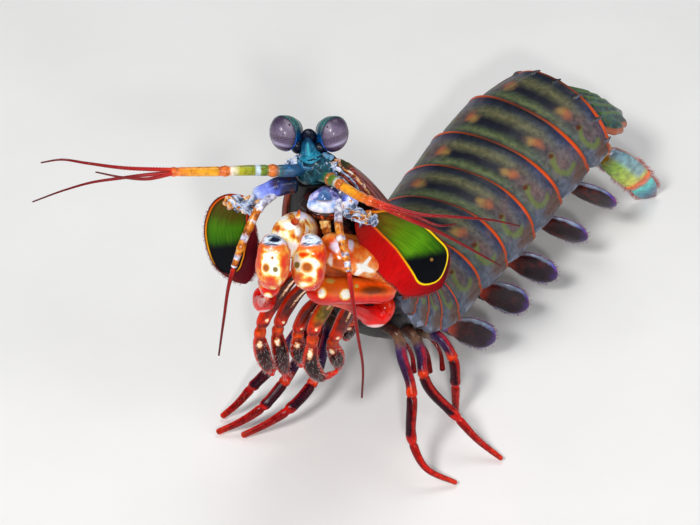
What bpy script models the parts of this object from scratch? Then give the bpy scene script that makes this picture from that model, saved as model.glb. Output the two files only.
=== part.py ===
"""Peacock mantis shrimp, a life-size still model in a watchful stance.

The animal faces -Y with its tail trailing towards +X +Y, and it stands on z = 0.
All dimensions below are millimetres and degrees; meshes are built in metres.
The head is upright and the trunk is a chain of somites: each has a length, a
compass heading and a pitch, both read tailward, so a chain bends at its joints.
"""
import math

import bmesh
import bpy
from mathutils import Matrix, Vector

MM = 0.001
GAP = 0.3            # clearance left between neighbouring plates and limbs
INFLATE = 0.5        # how far a neighbour is swollen before it trims a limb

# The waist is the joint between the last thoracic and the first abdominal somite.
WAIST = (19.0, 13.2, 18.9)
ABDOMEN_LEAN = 4.2   # the left flank is carried a little higher than the right

# Tail half, front to back: name, length, width, height, heading, pitch
ABDOMEN = (
    ("abdomen_1", 11.0, 33.8, 12.8, 24.7, -1.0),
    ("abdomen_2", 13.0, 36.0, 13.3, 28.5, -5.5),
    ("abdomen_3", 13.5, 37.6, 13.8, 31.5, 1.0),
    ("abdomen_4", 13.5, 38.2, 13.8, 34.5, 12.0),
    ("abdomen_5", 13.5, 38.0, 13.3, 41.0, 16.0),
    ("abdomen_6", 11.0, 35.0, 12.9, 49.0, 3.0),
)
# Thorax, from the waist forward: name, length, width, height, heading, pitch, facing
THORAX = (
    ("thorax_8", 7.0, 29.0, 12.4, 28.2, -22.9, 24.5),
    ("thorax_7", 6.5, 27.0, 12.0, 32.3, -41.3, 24.0),
    ("thorax_6", 6.0, 25.0, 11.6, 38.4, -57.0, 23.0),
    ("thorax_5", 5.5, 23.5, 11.2, 50.0, -70.0, 22.0),
)
CARAPACE_LENGTH = 36.0
CARAPACE_HEADING = 62.4
CARAPACE_PITCH = -75.7
# Carapace stations from rear to front: share of length, width, height, facing
CARAPACE = (
    (0.00, 25.5, 12.0, 22.0),
    (0.12, 28.0, 12.6, 21.0),
    (0.40, 28.5, 12.3, 18.0),
    (0.70, 23.5, 10.4, 14.0),
    (0.90, 18.0, 8.2, 10.0),
    (1.00, 14.5, 6.6, 8.0),
)
ARCH_POWER = 2.2     # superellipse power of a tergite's arch
ARCH_POINTS = 15
# Belly outline as shares of width and drop below the axis, right to left
BELLY = ((0.41, 0.22), (0.27, 0.90), (0.0, 1.0), (-0.27, 0.90), (-0.41, 0.22))
BELLY_DROP = 6.0
CHEST_SHARE = 0.72   # the sternum of the thorax is narrower than the belly

TELSON_LENGTH = 20.5
TELSON_HEADING = 48.0
TELSON_PITCH = -30.0
TELSON_DOME = 5.6
TELSON_THICKNESS = 2.2
TELSON_RISE = 3.0    # of its hinge above the somite's axis
# Half outline of the telson with its three marginal teeth: sideways, tailward
TELSON_OUTLINE = (
    (10.8, 0.0), (12.6, 3.5), (13.0, 8.0), (12.2, 12.4), (10.9, 12.2),
    (10.0, 16.6), (8.4, 16.0), (5.2, 20.5), (2.8, 17.6), (0.0, 16.8),
)

EYE_R = (-5.7, -1.0, 80.9)
EYE_L = (4.7, -1.0, 80.7)
CORNEA_RADII = (3.15, 3.0, 3.8)      # across, along the gaze, tall
GAZE = (0.51, -0.775, 0.356)         # of the left eye; the right one mirrors it
EYE_TALL = (0.0, 0.67, 0.74)
# Cup of the eyestalk: distance behind the cornea's middle, half height
STALK_CUP = ((4.7, 1.5), (3.7, 2.5), (2.3, 3.3), (0.1, 3.75))
STALK_NECK = ((-0.7, -1.6, 78.2), 3.2, 1.25)

# Head from the mouth to the nose tip: middle, half width, half depth
HEAD = (
    ((2.0, -4.8, 71.6), 4.6, 2.6), ((1.3, -5.2, 73.0), 4.7, 3.0), ((0.4, -4.8, 75.4), 3.9, 2.7),
    ((-0.4, -3.8, 77.6), 2.4, 2.2), ((-0.7, -2.9, 79.6), 1.4, 1.4), ((-0.7, -2.3, 81.0), 0.5, 0.5),
)
LIP = (
    ((2.8, -9.2, 73.2), 1.6, 0.8), ((2.8, -10.2, 71.4), 3.2, 1.7), ((2.8, -10.8, 68.8), 3.4, 1.9),
    ((2.7, -10.8, 66.8), 2.6, 1.5), ((2.6, -10.4, 65.6), 1.2, 0.8),
)
PALP = (((2.7, -10.6, 66.4), 1.2, 1.0), ((3.0, -12.0, 64.4), 1.1, 0.9), ((3.4, -12.8, 62.4), 0.7, 0.6))
ROSTRAL_LENGTH = 4.5
ROSTRAL_HALF_WIDTH = 3.0
ROSTRAL_LIFT = 5.0

FLAGELLUM_ROOT = 0.42
FLAGELLUM_TIP = 0.27


def clear_scene():
    for item in list(bpy.data.objects):
        bpy.data.objects.remove(item, do_unlink=True)


def collection(name):
    group = bpy.data.collections.new(name)
    bpy.context.scene.collection.children.link(group)
    return group


def material(name, colour, roughness, metallic=0.0):
    mat = bpy.data.materials.new(name)
    mat.use_nodes = True
    shader = mat.node_tree.nodes["Principled BSDF"]
    shader.inputs["Base Color"].default_value = (*colour, 1.0)
    shader.inputs["Roughness"].default_value = roughness
    shader.inputs["Metallic"].default_value = metallic
    return mat


def heading_vector(heading, pitch):
    h, p = math.radians(heading), math.radians(pitch)
    return Vector((math.sin(h) * math.cos(p), math.cos(h) * math.cos(p), math.sin(p)))


def body_axes(heading, pitch, facing, lean=0.0):
    """Tailward, left and dorsal directions of a somite."""
    back = heading_vector(heading, pitch)
    f = math.radians(facing)
    side = Vector((math.cos(f), -math.sin(f), 0.0))
    left = (side - back * side.dot(back)).normalized()
    left = Matrix.Rotation(-math.radians(lean), 3, back) @ left
    return back, left, left.cross(back)


def station(origin, axes, width, height):
    return {"origin": Vector(origin), "axes": axes, "width": width, "height": height}


def blend(a, b, t):
    """A station part of the way from one station to the next."""
    back = a["axes"][0].lerp(b["axes"][0], t).normalized()
    left = a["axes"][1].lerp(b["axes"][1], t)
    left = (left - back * left.dot(back)).normalized()
    mix = {key: a[key] + (b[key] - a[key]) * t for key in ("width", "height")}
    return station(a["origin"].lerp(b["origin"], t), (back, left, left.cross(back)), **mix)


def at(place, left=0.0, up=0.0, back=0.0):
    """A point given by its distances along a station's own axes."""
    b, l, u = place["axes"]
    return place["origin"] + b * back + l * left + u * up


def tergite_ring(place, shift=0.0, scale=1.0, drop=BELLY_DROP, belly_share=1.0):
    """Arch over the back and a shallow belly, as one closed ring."""
    ring = []
    for i in range(ARCH_POINTS):
        angle = math.pi * i / (ARCH_POINTS - 1)
        c, s = math.cos(angle), math.sin(angle)
        side = math.copysign(abs(c) ** (2 / ARCH_POWER), -c) * place["width"] / 2
        ring.append(at(place, side * scale, s ** (2 / ARCH_POWER) * place["height"] * scale, shift))
    for across, down in BELLY:
        side = across * place["width"] * scale * belly_share
        ring.append(at(place, side, -down * drop * scale, shift))
    return ring


def mesh_object(name, verts, faces, mat, group):
    mesh = bpy.data.meshes.new(name)
    mesh.from_pydata([tuple(v * MM) for v in verts], [], faces)
    bm = bmesh.new()
    bm.from_mesh(mesh)
    bmesh.ops.recalc_face_normals(bm, faces=bm.faces)
    bm.to_mesh(mesh)
    bm.free()
    mesh.materials.append(mat)
    mesh.shade_smooth()
    mesh.set_sharp_from_angle(angle=math.radians(40))
    item = bpy.data.objects.new(name, mesh)
    group.objects.link(item)
    return item


def loft(name, rings, mat, group):
    """Skin over rings of equal count, closed by one face at each end."""
    count = len(rings[0])
    verts = [point for ring in rings for point in ring]
    faces = []
    for r in range(len(rings) - 1):
        for i in range(count):
            j = (i + 1) % count
            a, b = r * count, (r + 1) * count
            faces.append((a + i, a + j, b + j, b + i))
    faces.append(tuple(range(count)))
    faces.append(tuple(range((len(rings) - 1) * count, len(rings) * count)))
    return mesh_object(name, verts, faces, mat, group)


def limb_rings(points, wide, thick, side, sides):
    """Elliptic rings along a bent limb: wide runs along side, thick across it.

    The side direction is carried from ring to ring, so the limb never twists.
    """
    points = [Vector(p) for p in points]
    across = Vector(side)
    rings = []
    for i, point in enumerate(points):
        ahead = points[min(i + 1, len(points) - 1)] - point
        behind = point - points[max(i - 1, 0)]
        along = (ahead.normalized() + behind.normalized()).normalized()
        across = (across - along * across.dot(along)).normalized()
        depth = along.cross(across)
        rings.append([
            point + across * (wide[i] * math.cos(a)) + depth * (thick[i] * math.sin(a))
            for a in (2 * math.pi * k / sides for k in range(sides))
        ])
    return rings


def limb(name, points, wide, thick, side, mat, group, sides=10):
    return loft(name, limb_rings(points, wide, thick, side, sides), mat, group)


def wire(name, points, radii, mat, group, bevel_resolution=1):
    """A slender round feeler: a poly curve whose point radii taper."""
    curve = bpy.data.curves.new(name, "CURVE")
    curve.dimensions = "3D"
    curve.bevel_depth = MM
    curve.bevel_resolution = bevel_resolution
    curve.use_fill_caps = True
    spline = curve.splines.new("POLY")
    spline.points.add(len(points) - 1)
    for knot, point, radius in zip(spline.points, points, radii):
        knot.co = (*(Vector(point) * MM), 1.0)
        knot.radius = radius
    item = bpy.data.objects.new(name, curve)
    group.objects.link(item)
    mesh = evaluated_mesh(item)
    bm = bmesh.new()
    bm.from_mesh(mesh)
    bmesh.ops.remove_doubles(bm, verts=bm.verts, dist=0.00001)
    bmesh.ops.recalc_face_normals(bm, faces=bm.faces)
    bm.to_mesh(mesh)
    bm.free()
    bpy.data.objects.remove(item, do_unlink=True)
    solid = bpy.data.objects.new(name, mesh)
    mesh.materials.clear()
    mesh.materials.append(mat)
    group.objects.link(solid)
    return solid


def taper(start, end, count):
    return [start + (end - start) * i / (count - 1) for i in range(count)]


def evaluated_mesh(item):
    bpy.context.view_layer.update()
    graph = bpy.context.evaluated_depsgraph_get()
    return bpy.data.meshes.new_from_object(item.evaluated_get(graph))


def is_sound(mesh, least):
    """True for a closed mesh that holds at least the given volume."""
    bm = bmesh.new()
    bm.from_mesh(mesh)
    closed = all(len(edge.link_faces) == 2 for edge in bm.edges)
    volume = bm.calc_volume() if bm.faces else 0.0
    bm.free()
    return closed and volume > least


def boolean(item, other, operation):
    """Apply one boolean, exact unless that leaves an open or empty mesh."""
    bm = bmesh.new()
    bm.from_mesh(item.data)
    least = bm.calc_volume() * (1.0 if operation == "UNION" else 0.15)
    bm.free()
    for solver in ("EXACT", "MANIFOLD"):
        step = item.modifiers.new("shape", "BOOLEAN")
        step.operation = operation
        step.solver = solver
        step.object = other
        mesh = evaluated_mesh(item)
        item.modifiers.remove(step)
        if is_sound(mesh, least):
            break
    item.data = mesh


def join(name, pieces):
    """Union several overlapping solids into the first one."""
    whole = pieces[0]
    for piece in pieces[1:]:
        boolean(whole, piece, "UNION")
        bpy.data.objects.remove(piece, do_unlink=True)
    whole.name = name
    whole.data.name = name
    return whole


def swollen(item, distance):
    """A copy of a solid pushed out along its normals, for use as a cutter."""
    mesh = item.data.copy()
    bm = bmesh.new()
    bm.from_mesh(mesh)
    bm.normal_update()
    moves = [(v, v.normal.copy()) for v in bm.verts]
    for vert, normal in moves:
        vert.co += normal * distance * MM
    bm.to_mesh(mesh)
    bm.free()
    return bpy.data.objects.new("cutter", mesh)


def keep_largest(item):
    """Drop the loose crumbs that a trim can leave."""
    bm = bmesh.new()
    bm.from_mesh(item.data)
    seen, islands = set(), []
    for start in bm.verts:
        if start in seen:
            continue
        stack, island = [start], []
        seen.add(start)
        while stack:
            vert = stack.pop()
            island.append(vert)
            for edge in vert.link_edges:
                other = edge.other_vert(vert)
                if other not in seen:
                    seen.add(other)
                    stack.append(other)
        islands.append(island)
    islands.sort(key=len, reverse=True)
    spare = [vert for island in islands[1:] for vert in island]
    bmesh.ops.delete(bm, geom=spare, context="VERTS")
    bm.to_mesh(item.data)
    bm.free()


def trim(item, *neighbours):
    """Cut a piece back from its neighbours and leave a clear gap."""
    group = item.users_collection[0]
    for neighbour in neighbours:
        cutter = swollen(neighbour, INFLATE)
        group.objects.link(cutter)
        boolean(item, cutter, "DIFFERENCE")
        bpy.data.objects.remove(cutter, do_unlink=True)
    keep_largest(item)


def box(item):
    points = [vert.co for vert in item.data.vertices]
    low = [min(p[i] for p in points) - INFLATE * MM for i in range(3)]
    high = [max(p[i] for p in points) + INFLATE * MM for i in range(3)]
    return low, high


def add(parts, item):
    """Trim a new piece against every earlier piece that it comes near, and keep it."""
    for other in list(parts.values()):
        (low, high), (other_low, other_high) = box(item), box(other)
        if all(low[i] < other_high[i] and other_low[i] < high[i] for i in range(3)):
            trim(item, other)
    parts[item.name] = item


def cut_at_floor(item):
    """Flatten a foot on the plane z = 0."""
    bpy.ops.mesh.primitive_cube_add(size=400 * MM, location=(0, 0, -200 * MM))
    block = bpy.context.active_object
    boolean(item, block, "DIFFERENCE")
    bpy.data.objects.remove(block, do_unlink=True)
    keep_largest(item)


# Raptorial claws, by side: each article as points from its root, with the half
# height and half width of its section there.
CLAWS = {
    "left": {
        "merus": (
            ((12.6, -6.6, 37.4), 1.8, 1.8), ((15.6, -6.0, 41.0), 2.4, 2.2),
            ((16.8, -6.4, 46.0), 3.9, 3.0), ((13.8, -8.8, 51.8), 4.9, 3.5),
            ((8.4, -13.8, 58.4), 4.9, 3.6), ((3.4, -18.3, 63.6), 3.9, 3.2),
        ),
        "carpus": (
            ((1.5, -20.3, 69.0), 1.6, 1.4), ((0.6, -21.5, 68.3), 2.9, 2.6),
            ((-0.4, -23.4, 64.8), 3.6, 3.2), ((-0.5, -23.2, 60.2), 3.4, 3.0),
            ((-0.2, -22.4, 57.4), 2.4, 2.2),
        ),
        "propodus": (
            ((0.2, -21.4, 55.8), 1.9, 1.8), ((1.2, -20.4, 54.2), 2.7, 2.6),
            ((6.0, -16.0, 49.9), 3.0, 2.8), ((12.0, -11.6, 45.8), 2.9, 2.8),
            ((15.8, -8.8, 43.4), 2.8, 2.7), ((17.4, -7.6, 42.3), 1.7, 1.6),
        ),
        "dactyl": (
            ((16.9, -6.6, 38.0), 1.4, 1.3), ((15.8, -6.2, 36.2), 2.9, 2.6),
            ((13.6, -7.6, 35.4), 3.5, 3.1), ((11.2, -10.0, 37.9), 2.2, 2.0),
            ((8.2, -13.2, 42.6), 1.3, 1.2), ((3.2, -18.2, 48.6), 0.5, 0.5),
        ),
    },
    "right": {
        "merus": (
            ((1.6, -8.0, 53.0), 1.9, 1.9), ((0.2, -8.4, 56.8), 2.6, 2.4),
            ((-1.4, -11.0, 61.6), 3.8, 3.1), ((-3.0, -15.6, 65.8), 4.3, 3.4),
            ((-4.6, -20.0, 68.8), 4.1, 3.3), ((-5.9, -23.6, 70.8), 3.3, 2.9),
        ),
        "carpus": (
            ((-6.4, -25.2, 73.4), 1.6, 1.4), ((-6.9, -26.2, 72.9), 2.7, 2.4),
            ((-7.5, -28.3, 69.8), 3.5, 3.0), ((-8.0, -28.1, 65.0), 3.3, 2.8),
            ((-8.3, -27.0, 61.6), 2.2, 2.0),
        ),
        "propodus": (
            ((-8.4, -25.4, 60.6), 1.8, 1.7), ((-8.6, -24.2, 59.0), 2.4, 2.2),
            ((-8.8, -20.2, 55.6), 2.6, 2.4), ((-9.0, -15.6, 52.4), 2.6, 2.4),
            ((-9.0, -13.6, 51.0), 1.7, 1.6),
        ),
        "dactyl": (
            ((-9.8, -12.6, 47.8), 1.3, 1.2), ((-10.2, -13.4, 46.6), 2.4, 2.2),
            ((-10.4, -15.4, 46.2), 2.5, 2.3), ((-10.2, -17.8, 48.4), 1.6, 1.5),
            ((-9.8, -20.2, 51.0), 1.0, 0.9), ((-9.2, -24.6, 56.0), 0.5, 0.5),
        ),
    },
}
IMAGE_UP = (0.0, 0.67, 0.74)     # the claws' tall direction, square to their inner faces

# Maxillipeds three to five: wrist down, from the mouth outward and back
MAXILLIPEDS = {
    "right": (
        ((-2.0, -8.5, 50.0), (-4.8, -9.0, 46.8), (-8.0, -9.4, 41.6), (-10.8, -11.0, 36.7),
         (-11.8, -12.0, 33.1), (-11.4, -12.0, 27.2), (-10.2, -11.0, 21.5), (-9.3, -10.0, 18.3)),
        ((1.0, -8.0, 46.5), (-2.5, -8.0, 43.0), (-5.6, -8.0, 38.1), (-7.2, -8.8, 34.4),
         (-8.0, -9.0, 31.3), (-7.6, -8.8, 24.5), (-6.8, -7.8, 17.5), (-6.0, -7.0, 13.6)),
        ((4.0, -6.0, 42.5), (1.6, -6.0, 38.4), (-1.4, -6.2, 34.2), (-3.2, -6.6, 30.4),
         (-3.6, -6.6, 27.4), (-3.6, -6.2, 22.0), (-3.2, -5.2, 18.2), (-3.0, -4.8, 15.6)),
    ),
    "left": (
        ((5.4, -9.0, 46.0), (4.6, -10.0, 43.6), (2.6, -10.4, 39.6), (0.2, -12.0, 35.0),
         (-0.2, -12.6, 31.6), (-0.4, -12.2, 23.2), (2.2, -10.8, 18.4), (5.4, -9.2, 18.8)),
        ((9.0, -8.4, 42.4), (8.4, -8.8, 39.6), (6.8, -8.4, 34.4), (5.0, -8.2, 29.2),
         (4.2, -7.8, 26.4), (5.0, -6.6, 21.2), (5.4, -5.8, 17.4), (5.4, -5.2, 15.0)),
        ((12.4, -6.4, 38.8), (11.8, -6.0, 36.4), (10.2, -5.0, 33.6), (8.8, -4.4, 31.0),
         (8.2, -4.0, 29.2), (7.8, -3.4, 26.2), (7.4, -3.0, 23.8), (7.2, -2.6, 22.0)),
    ),
}
MAXILLIPED_WIDE = (1.4, 1.5, 1.8, 1.5, 1.4, 1.9, 1.3, 0.5)

# Walking legs by side, front pair first: hip, knee and the rest down to the toe
LEGS = {
    "right": (
        ((6.5, 1.0, 26.5), (1.6, 3.4, 27.0), (-3.6, 1.4, 21.4), (-9.8, -2.6, 13.6),
         (-10.8, -3.1, 12.6), (-14.6, -4.2, 8.4), (-18.1, -5.2, 4.0), (-21.9, -6.2, -0.9)),
        ((9.5, 4.0, 22.5), (3.0, 6.4, 23.0), (-1.0, 2.8, 18.4), (-6.6, -5.2, 12.1),
         (-7.6, -6.0, 11.0), (-11.9, -9.1, 7.1), (-17.2, -10.2, 3.2), (-22.8, -11.1, -0.9)),
        ((12.0, 8.6, 18.0), (4.6, 9.8, 18.6), (2.6, 5.2, 14.6), (-0.4, -3.6, 9.8),
         (-1.2, -4.8, 9.2), (-6.2, -9.6, 6.4), (-11.3, -11.0, 3.2), (-17.0, -12.2, -0.9)),
    ),
    "left": (
        ((14.5, -2.6, 27.6), (18.6, -5.6, 26.8), (19.8, -10.6, 24.4), (21.8, -17.0, 20.8),
         (21.9, -18.6, 19.2), (22.1, -23.3, 10.4), (24.9, -26.1, 5.2), (32.2, -26.8, -0.9)),
        ((17.0, 1.6, 23.6), (22.4, -1.4, 22.6), (24.2, -5.6, 20.8), (24.6, -9.2, 18.6),
         (25.0, -10.0, 17.2), (32.5, -14.6, 9.2), (37.2, -17.0, 4.4), (42.9, -19.5, -0.9)),
        ((19.4, 6.8, 18.4), (25.6, 4.2, 17.8), (28.6, 1.0, 19.4), (31.4, -2.0, 16.8),
         (31.9, -2.8, 15.6), (32.4, -4.6, 9.8), (32.6, -5.6, 4.2), (32.7, -6.1, -0.9)),
    ),
}
LEG_THICK = (1.2, 1.4, 1.35, 1.25, 1.3, 1.1, 0.85, 0.6)
EXOPOD_REACH = (4.0, -5.5, -7.0)       # outward, forward and down from the hip
EXOPOD_BOW = (1.2, 0.0, 0.6)
EXOPOD_RADII = (0.6, 0.5, 0.4)

# Swimming legs: share of the somite's half width, up, tailward, half width, half thickness
PLEOPOD_STEM = ((0.42, -4.4, -1.0, 1.7, 1.4), (0.56, -6.4, -0.6, 1.8, 1.4), (0.68, -8.2, 0.0, 1.6, 1.2))
PLEOPOD_OUTER = (
    (0.66, -7.6, -0.4, 1.6, 0.7), (0.86, -8.2, 0.4, 3.4, 0.6),
    (1.10, -9.6, 1.6, 3.6, 0.5), (1.32, -11.4, 3.0, 1.2, 0.4),
)
PLEOPOD_INNER = ((0.62, -7.6, 0.2, 1.4, 0.7), (0.66, -10.0, 1.4, 2.6, 0.6), (0.68, -12.8, 2.8, 0.9, 0.4))
PLEOPOD_PLACE = (0.5, 0.85, 0.85, 0.85, 0.85)     # share of each somite's length

# Tail fan legs, from the last joint plane: outward, up, tailward, half width, half thickness
UROPOD_STEM = ((9.5, -0.5, -2.5, 3.0, 1.9), (11.5, -2.6, 1.0, 3.2, 1.9), (12.6, -6.0, 4.4, 2.4, 1.5))
UROPOD_OUTER = (
    (12.4, -5.2, 3.6, 2.2, 1.3), (14.6, -9.4, 7.0, 3.5, 1.1), (15.4, -14.4, 10.4, 3.3, 1.0),
    (15.4, -19.4, 13.6, 3.5, 0.8), (15.0, -24.0, 16.6, 3.0, 0.7), (14.6, -28.4, 19.4, 1.0, 0.6),
)
UROPOD_INNER = (
    (10.6, -5.6, 3.2, 1.8, 1.0), (9.6, -10.4, 7.0, 2.8, 0.9),
    (9.0, -15.0, 10.4, 2.6, 0.8), (8.6, -19.0, 13.2, 0.9, 0.5),
)

# Feelers by side. The last knot of a peduncle carries the flagella.
ANTENNULES = {
    "left": {
        "peduncle": ((1.6, -6.0, 73.6), (3.4, -8.4, 74.9), (5.6, -11.0, 75.6),
                     (9.2, -15.0, 76.0), (15.2, -20.0, 76.8)),
        "flagella": (
            ((15.2, -20.0, 76.8), (22.1, -22.0, 76.6), (30.0, -22.0, 75.8),
             (38.0, -21.0, 73.9), (43.1, -20.0, 71.6)),
            ((15.2, -20.0, 76.8), (21.0, -23.6, 77.6), (26.2, -25.6, 76.6), (29.6, -27.0, 78.3)),
            ((15.2, -20.0, 76.8), (20.6, -20.8, 74.0), (25.5, -21.0, 71.4),
             (30.3, -21.0, 68.2), (35.7, -21.0, 64.3), (39.7, -20.0, 60.5)),
        ),
    },
    "right": {
        "peduncle": ((-1.6, -5.6, 75.0), (-4.2, -8.0, 76.5), (-11.9, -10.2, 78.4),
                     (-19.2, -12.0, 79.6), (-28.8, -14.0, 81.1)),
        "flagella": (
            ((-28.8, -14.0, 81.1), (-38.8, -15.5, 83.5), (-45.4, -16.5, 85.5),
             (-50.3, -17.0, 86.8), (-54.5, -17.0, 86.0)),
            ((-28.8, -14.0, 81.1), (-33.4, -16.6, 81.4), (-37.8, -17.6, 82.6),
             (-43.5, -18.0, 84.4)),
            ((-28.8, -14.0, 81.1), (-34.0, -13.4, 79.8), (-39.3, -13.0, 78.6),
             (-45.5, -12.5, 77.0), (-51.1, -12.0, 74.6), (-58.4, -11.0, 70.5)),
        ),
    },
}
ANTENNULE_RADII = (1.5, 1.45, 1.2, 1.1, 1.0)
ANTENNAE = {
    "left": {
        "protopod": ((3.8, -6.6, 71.4), (6.4, -8.8, 70.9), (9.4, -11.2, 69.4)),
        "peduncle": ((6.0, -9.4, 70.4), (5.7, -13.0, 70.4), (6.2, -21.0, 69.2),
                     (7.3, -24.0, 66.4), (7.9, -26.0, 64.3)),
        "flagellum": ((7.9, -26.0, 64.3), (8.7, -28.6, 58.4), (9.8, -31.0, 50.5),
                      (10.8, -33.0, 43.8), (10.6, -35.0, 36.4)),
    },
    "right": {
        "protopod": ((-3.0, -6.4, 71.6), (-7.0, -8.4, 72.4), (-12.2, -10.6, 71.4)),
        "peduncle": ((-7.4, -9.2, 71.6), (-10.9, -14.0, 71.2), (-12.9, -17.0, 68.5),
                     (-14.7, -19.5, 65.1), (-16.2, -21.5, 61.3)),
        "flagellum": ((-16.2, -21.5, 61.3), (-17.1, -22.8, 58.4), (-18.4, -26.0, 51.2),
                      (-19.7, -29.0, 43.0)),
    },
}
# Antennal scales with their hair fringe: spine of the blade, half widths, side direction
SCALES = {
    "left": (((9.6, -12.6, 67.9), (13.2, -12.6, 64.6), (17.4, -12.8, 60.6),
              (21.6, -13.0, 56.2), (25.4, -13.4, 51.6), (27.6, -13.8, 48.8)),
             (1.6, 4.9, 6.8, 7.0, 5.2, 1.2), (0.61, 0.53, 0.59)),
    "right": (((-14.0, -11.2, 72.2), (-15.8, -11.4, 70.0), (-17.2, -11.8, 66.2),
               (-17.0, -12.5, 60.8), (-15.8, -13.1, 55.2), (-14.4, -13.6, 50.0)),
              (1.6, 4.3, 5.2, 5.4, 4.5, 1.2), (1.0, 0.1, 0.0)),
}
BLADE_THICK = (0.6, 0.45, 0.35, 0.35, 0.3, 0.3)

COLOURS = {
    "shell": ((0.10, 0.14, 0.07), 0.35),
    "head": ((0.02, 0.22, 0.26), 0.35),
    "eye": ((0.34, 0.28, 0.40), 0.12),
    "mouth": ((0.45, 0.52, 0.85), 0.25),
    "antennule": ((0.75, 0.38, 0.03), 0.35),
    "antenna": ((0.70, 0.30, 0.08), 0.35),
    "scale": ((0.10, 0.30, 0.03), 0.40),
    "claw": ((0.85, 0.20, 0.05), 0.22),
    "leg": ((0.20, 0.02, 0.02), 0.35),
    "pleopod": ((0.18, 0.05, 0.06), 0.40),
    "tail": ((0.05, 0.22, 0.18), 0.35),
}


def trunk_planes():
    """Joint planes of the trunk: each abdominal rear face and each thoracic front face."""
    waist = station(WAIST, body_axes(26.0, -8.0, 24.6, ABDOMEN_LEAN), 32.0, 12.6)
    planes = {"waist": waist}
    point = waist["origin"]
    for name, length, width, height, heading, pitch in ABDOMEN:
        axes = body_axes(heading, pitch, heading, ABDOMEN_LEAN)
        point = point + axes[0] * length
        planes[name] = station(point, axes, width, height)
    point = waist["origin"]
    ahead = [(row[4], row[5], row[6]) for row in THORAX[1:]]
    ahead.append((CARAPACE_HEADING, CARAPACE_PITCH, CARAPACE[0][3]))
    for (name, length, width, height, heading, pitch, facing), following in zip(THORAX, ahead):
        own = body_axes(heading, pitch, facing)
        point = point - own[0] * length
        mean = station(point, own, width, height)
        other = station(point, body_axes(*following), width, height)
        planes[name] = blend(mean, other, 0.5)
    return planes


def carapace_stations(rear):
    stations = []
    for share, width, height, facing in CARAPACE:
        axes = body_axes(CARAPACE_HEADING, CARAPACE_PITCH, facing)
        origin = rear["origin"] - axes[0] * (share * CARAPACE_LENGTH)
        stations.append(station(origin, axes, width, height))
    stations[0]["axes"] = rear["axes"]
    return stations


def oval_ring(place, wide, deep, centre_up, sides=14, power=2.6, shift=0.0):
    ring = []
    for k in range(sides):
        angle = 2 * math.pi * k / sides
        c, s = math.cos(angle), math.sin(angle)
        across = math.copysign(abs(c) ** (2 / power), c) * wide
        rise = math.copysign(abs(s) ** (2 / power), s) * deep
        ring.append(at(place, across, centre_up + rise, shift))
    return ring


def somite(name, front, rear, mat, group, belly_share=1.0):
    """One ring of the trunk, its rear edge a little wider than its front."""
    swell = ((0.0, 0.955), (0.3, 0.985), (0.75, 1.0), (1.0, 0.99))
    rings = []
    for share, scale in swell:
        place = blend(front, rear, share)
        shift = GAP / 2 if share == 0.0 else (-GAP / 2 if share == 1.0 else 0.0)
        rings.append(tergite_ring(place, shift, scale, BELLY_DROP, belly_share))
    return loft(name, rings, mat, group)


def build_trunk(mats, group):
    planes = trunk_planes()
    parts = {}
    front = planes["waist"]
    for row in ABDOMEN:
        parts[row[0]] = somite(row[0], front, planes[row[0]], mats["shell"], group)
        front = planes[row[0]]
    rear = planes["waist"]
    for row in THORAX:
        parts[row[0]] = somite(row[0], planes[row[0]], rear, mats["shell"], group, CHEST_SHARE)
        rear = planes[row[0]]
    stations = carapace_stations(rear)
    shield_drop = 2.0
    rings = [tergite_ring(place, -GAP if i == 0 else 0.0, 1.0, shield_drop)
             for i, place in enumerate(stations)]
    parts["carapace"] = loft("carapace", rings, mats["shell"], group)
    sizes = ((7.6, 3.2), (7.6, 3.2), (7.0, 2.9), (5.8, 2.4), (5.0, 1.9), (4.4, 1.6))
    rings = []
    for i, (place, (wide, deep)) in enumerate(zip(stations, sizes)):
        rings.append(oval_ring(place, wide, deep, -shield_drop - GAP - deep, shift=-GAP if i == 0 else 0))
    parts["cephalon"] = loft("cephalon", rings, mats["leg"], group)
    return planes, stations, parts


def build_rostral_plate(front, mat, group):
    """Short pointed plate hinged on the front of the carapace."""
    rings = []
    for share, width in ((0.0, 1.0), (0.45, 0.95), (0.8, 0.5), (1.0, 0.12)):
        rings.append(oval_ring(front, ROSTRAL_HALF_WIDTH * width, 0.4, ROSTRAL_LIFT - share * 0.6,
                               10, 2.0, -1.3 * GAP - share * ROSTRAL_LENGTH))
    return loft("rostral_plate", rings, mat, group)


def build_head(parts, mats, group):
    """Eye-bearing and antennule-bearing somites, ending in the blunt nose."""
    points, wide, thick = zip(*HEAD)
    head = limb("head", points, wide, thick, (1.0, 0.0, 0.0), mats["head"], group, 12)
    add(parts, head)


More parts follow.
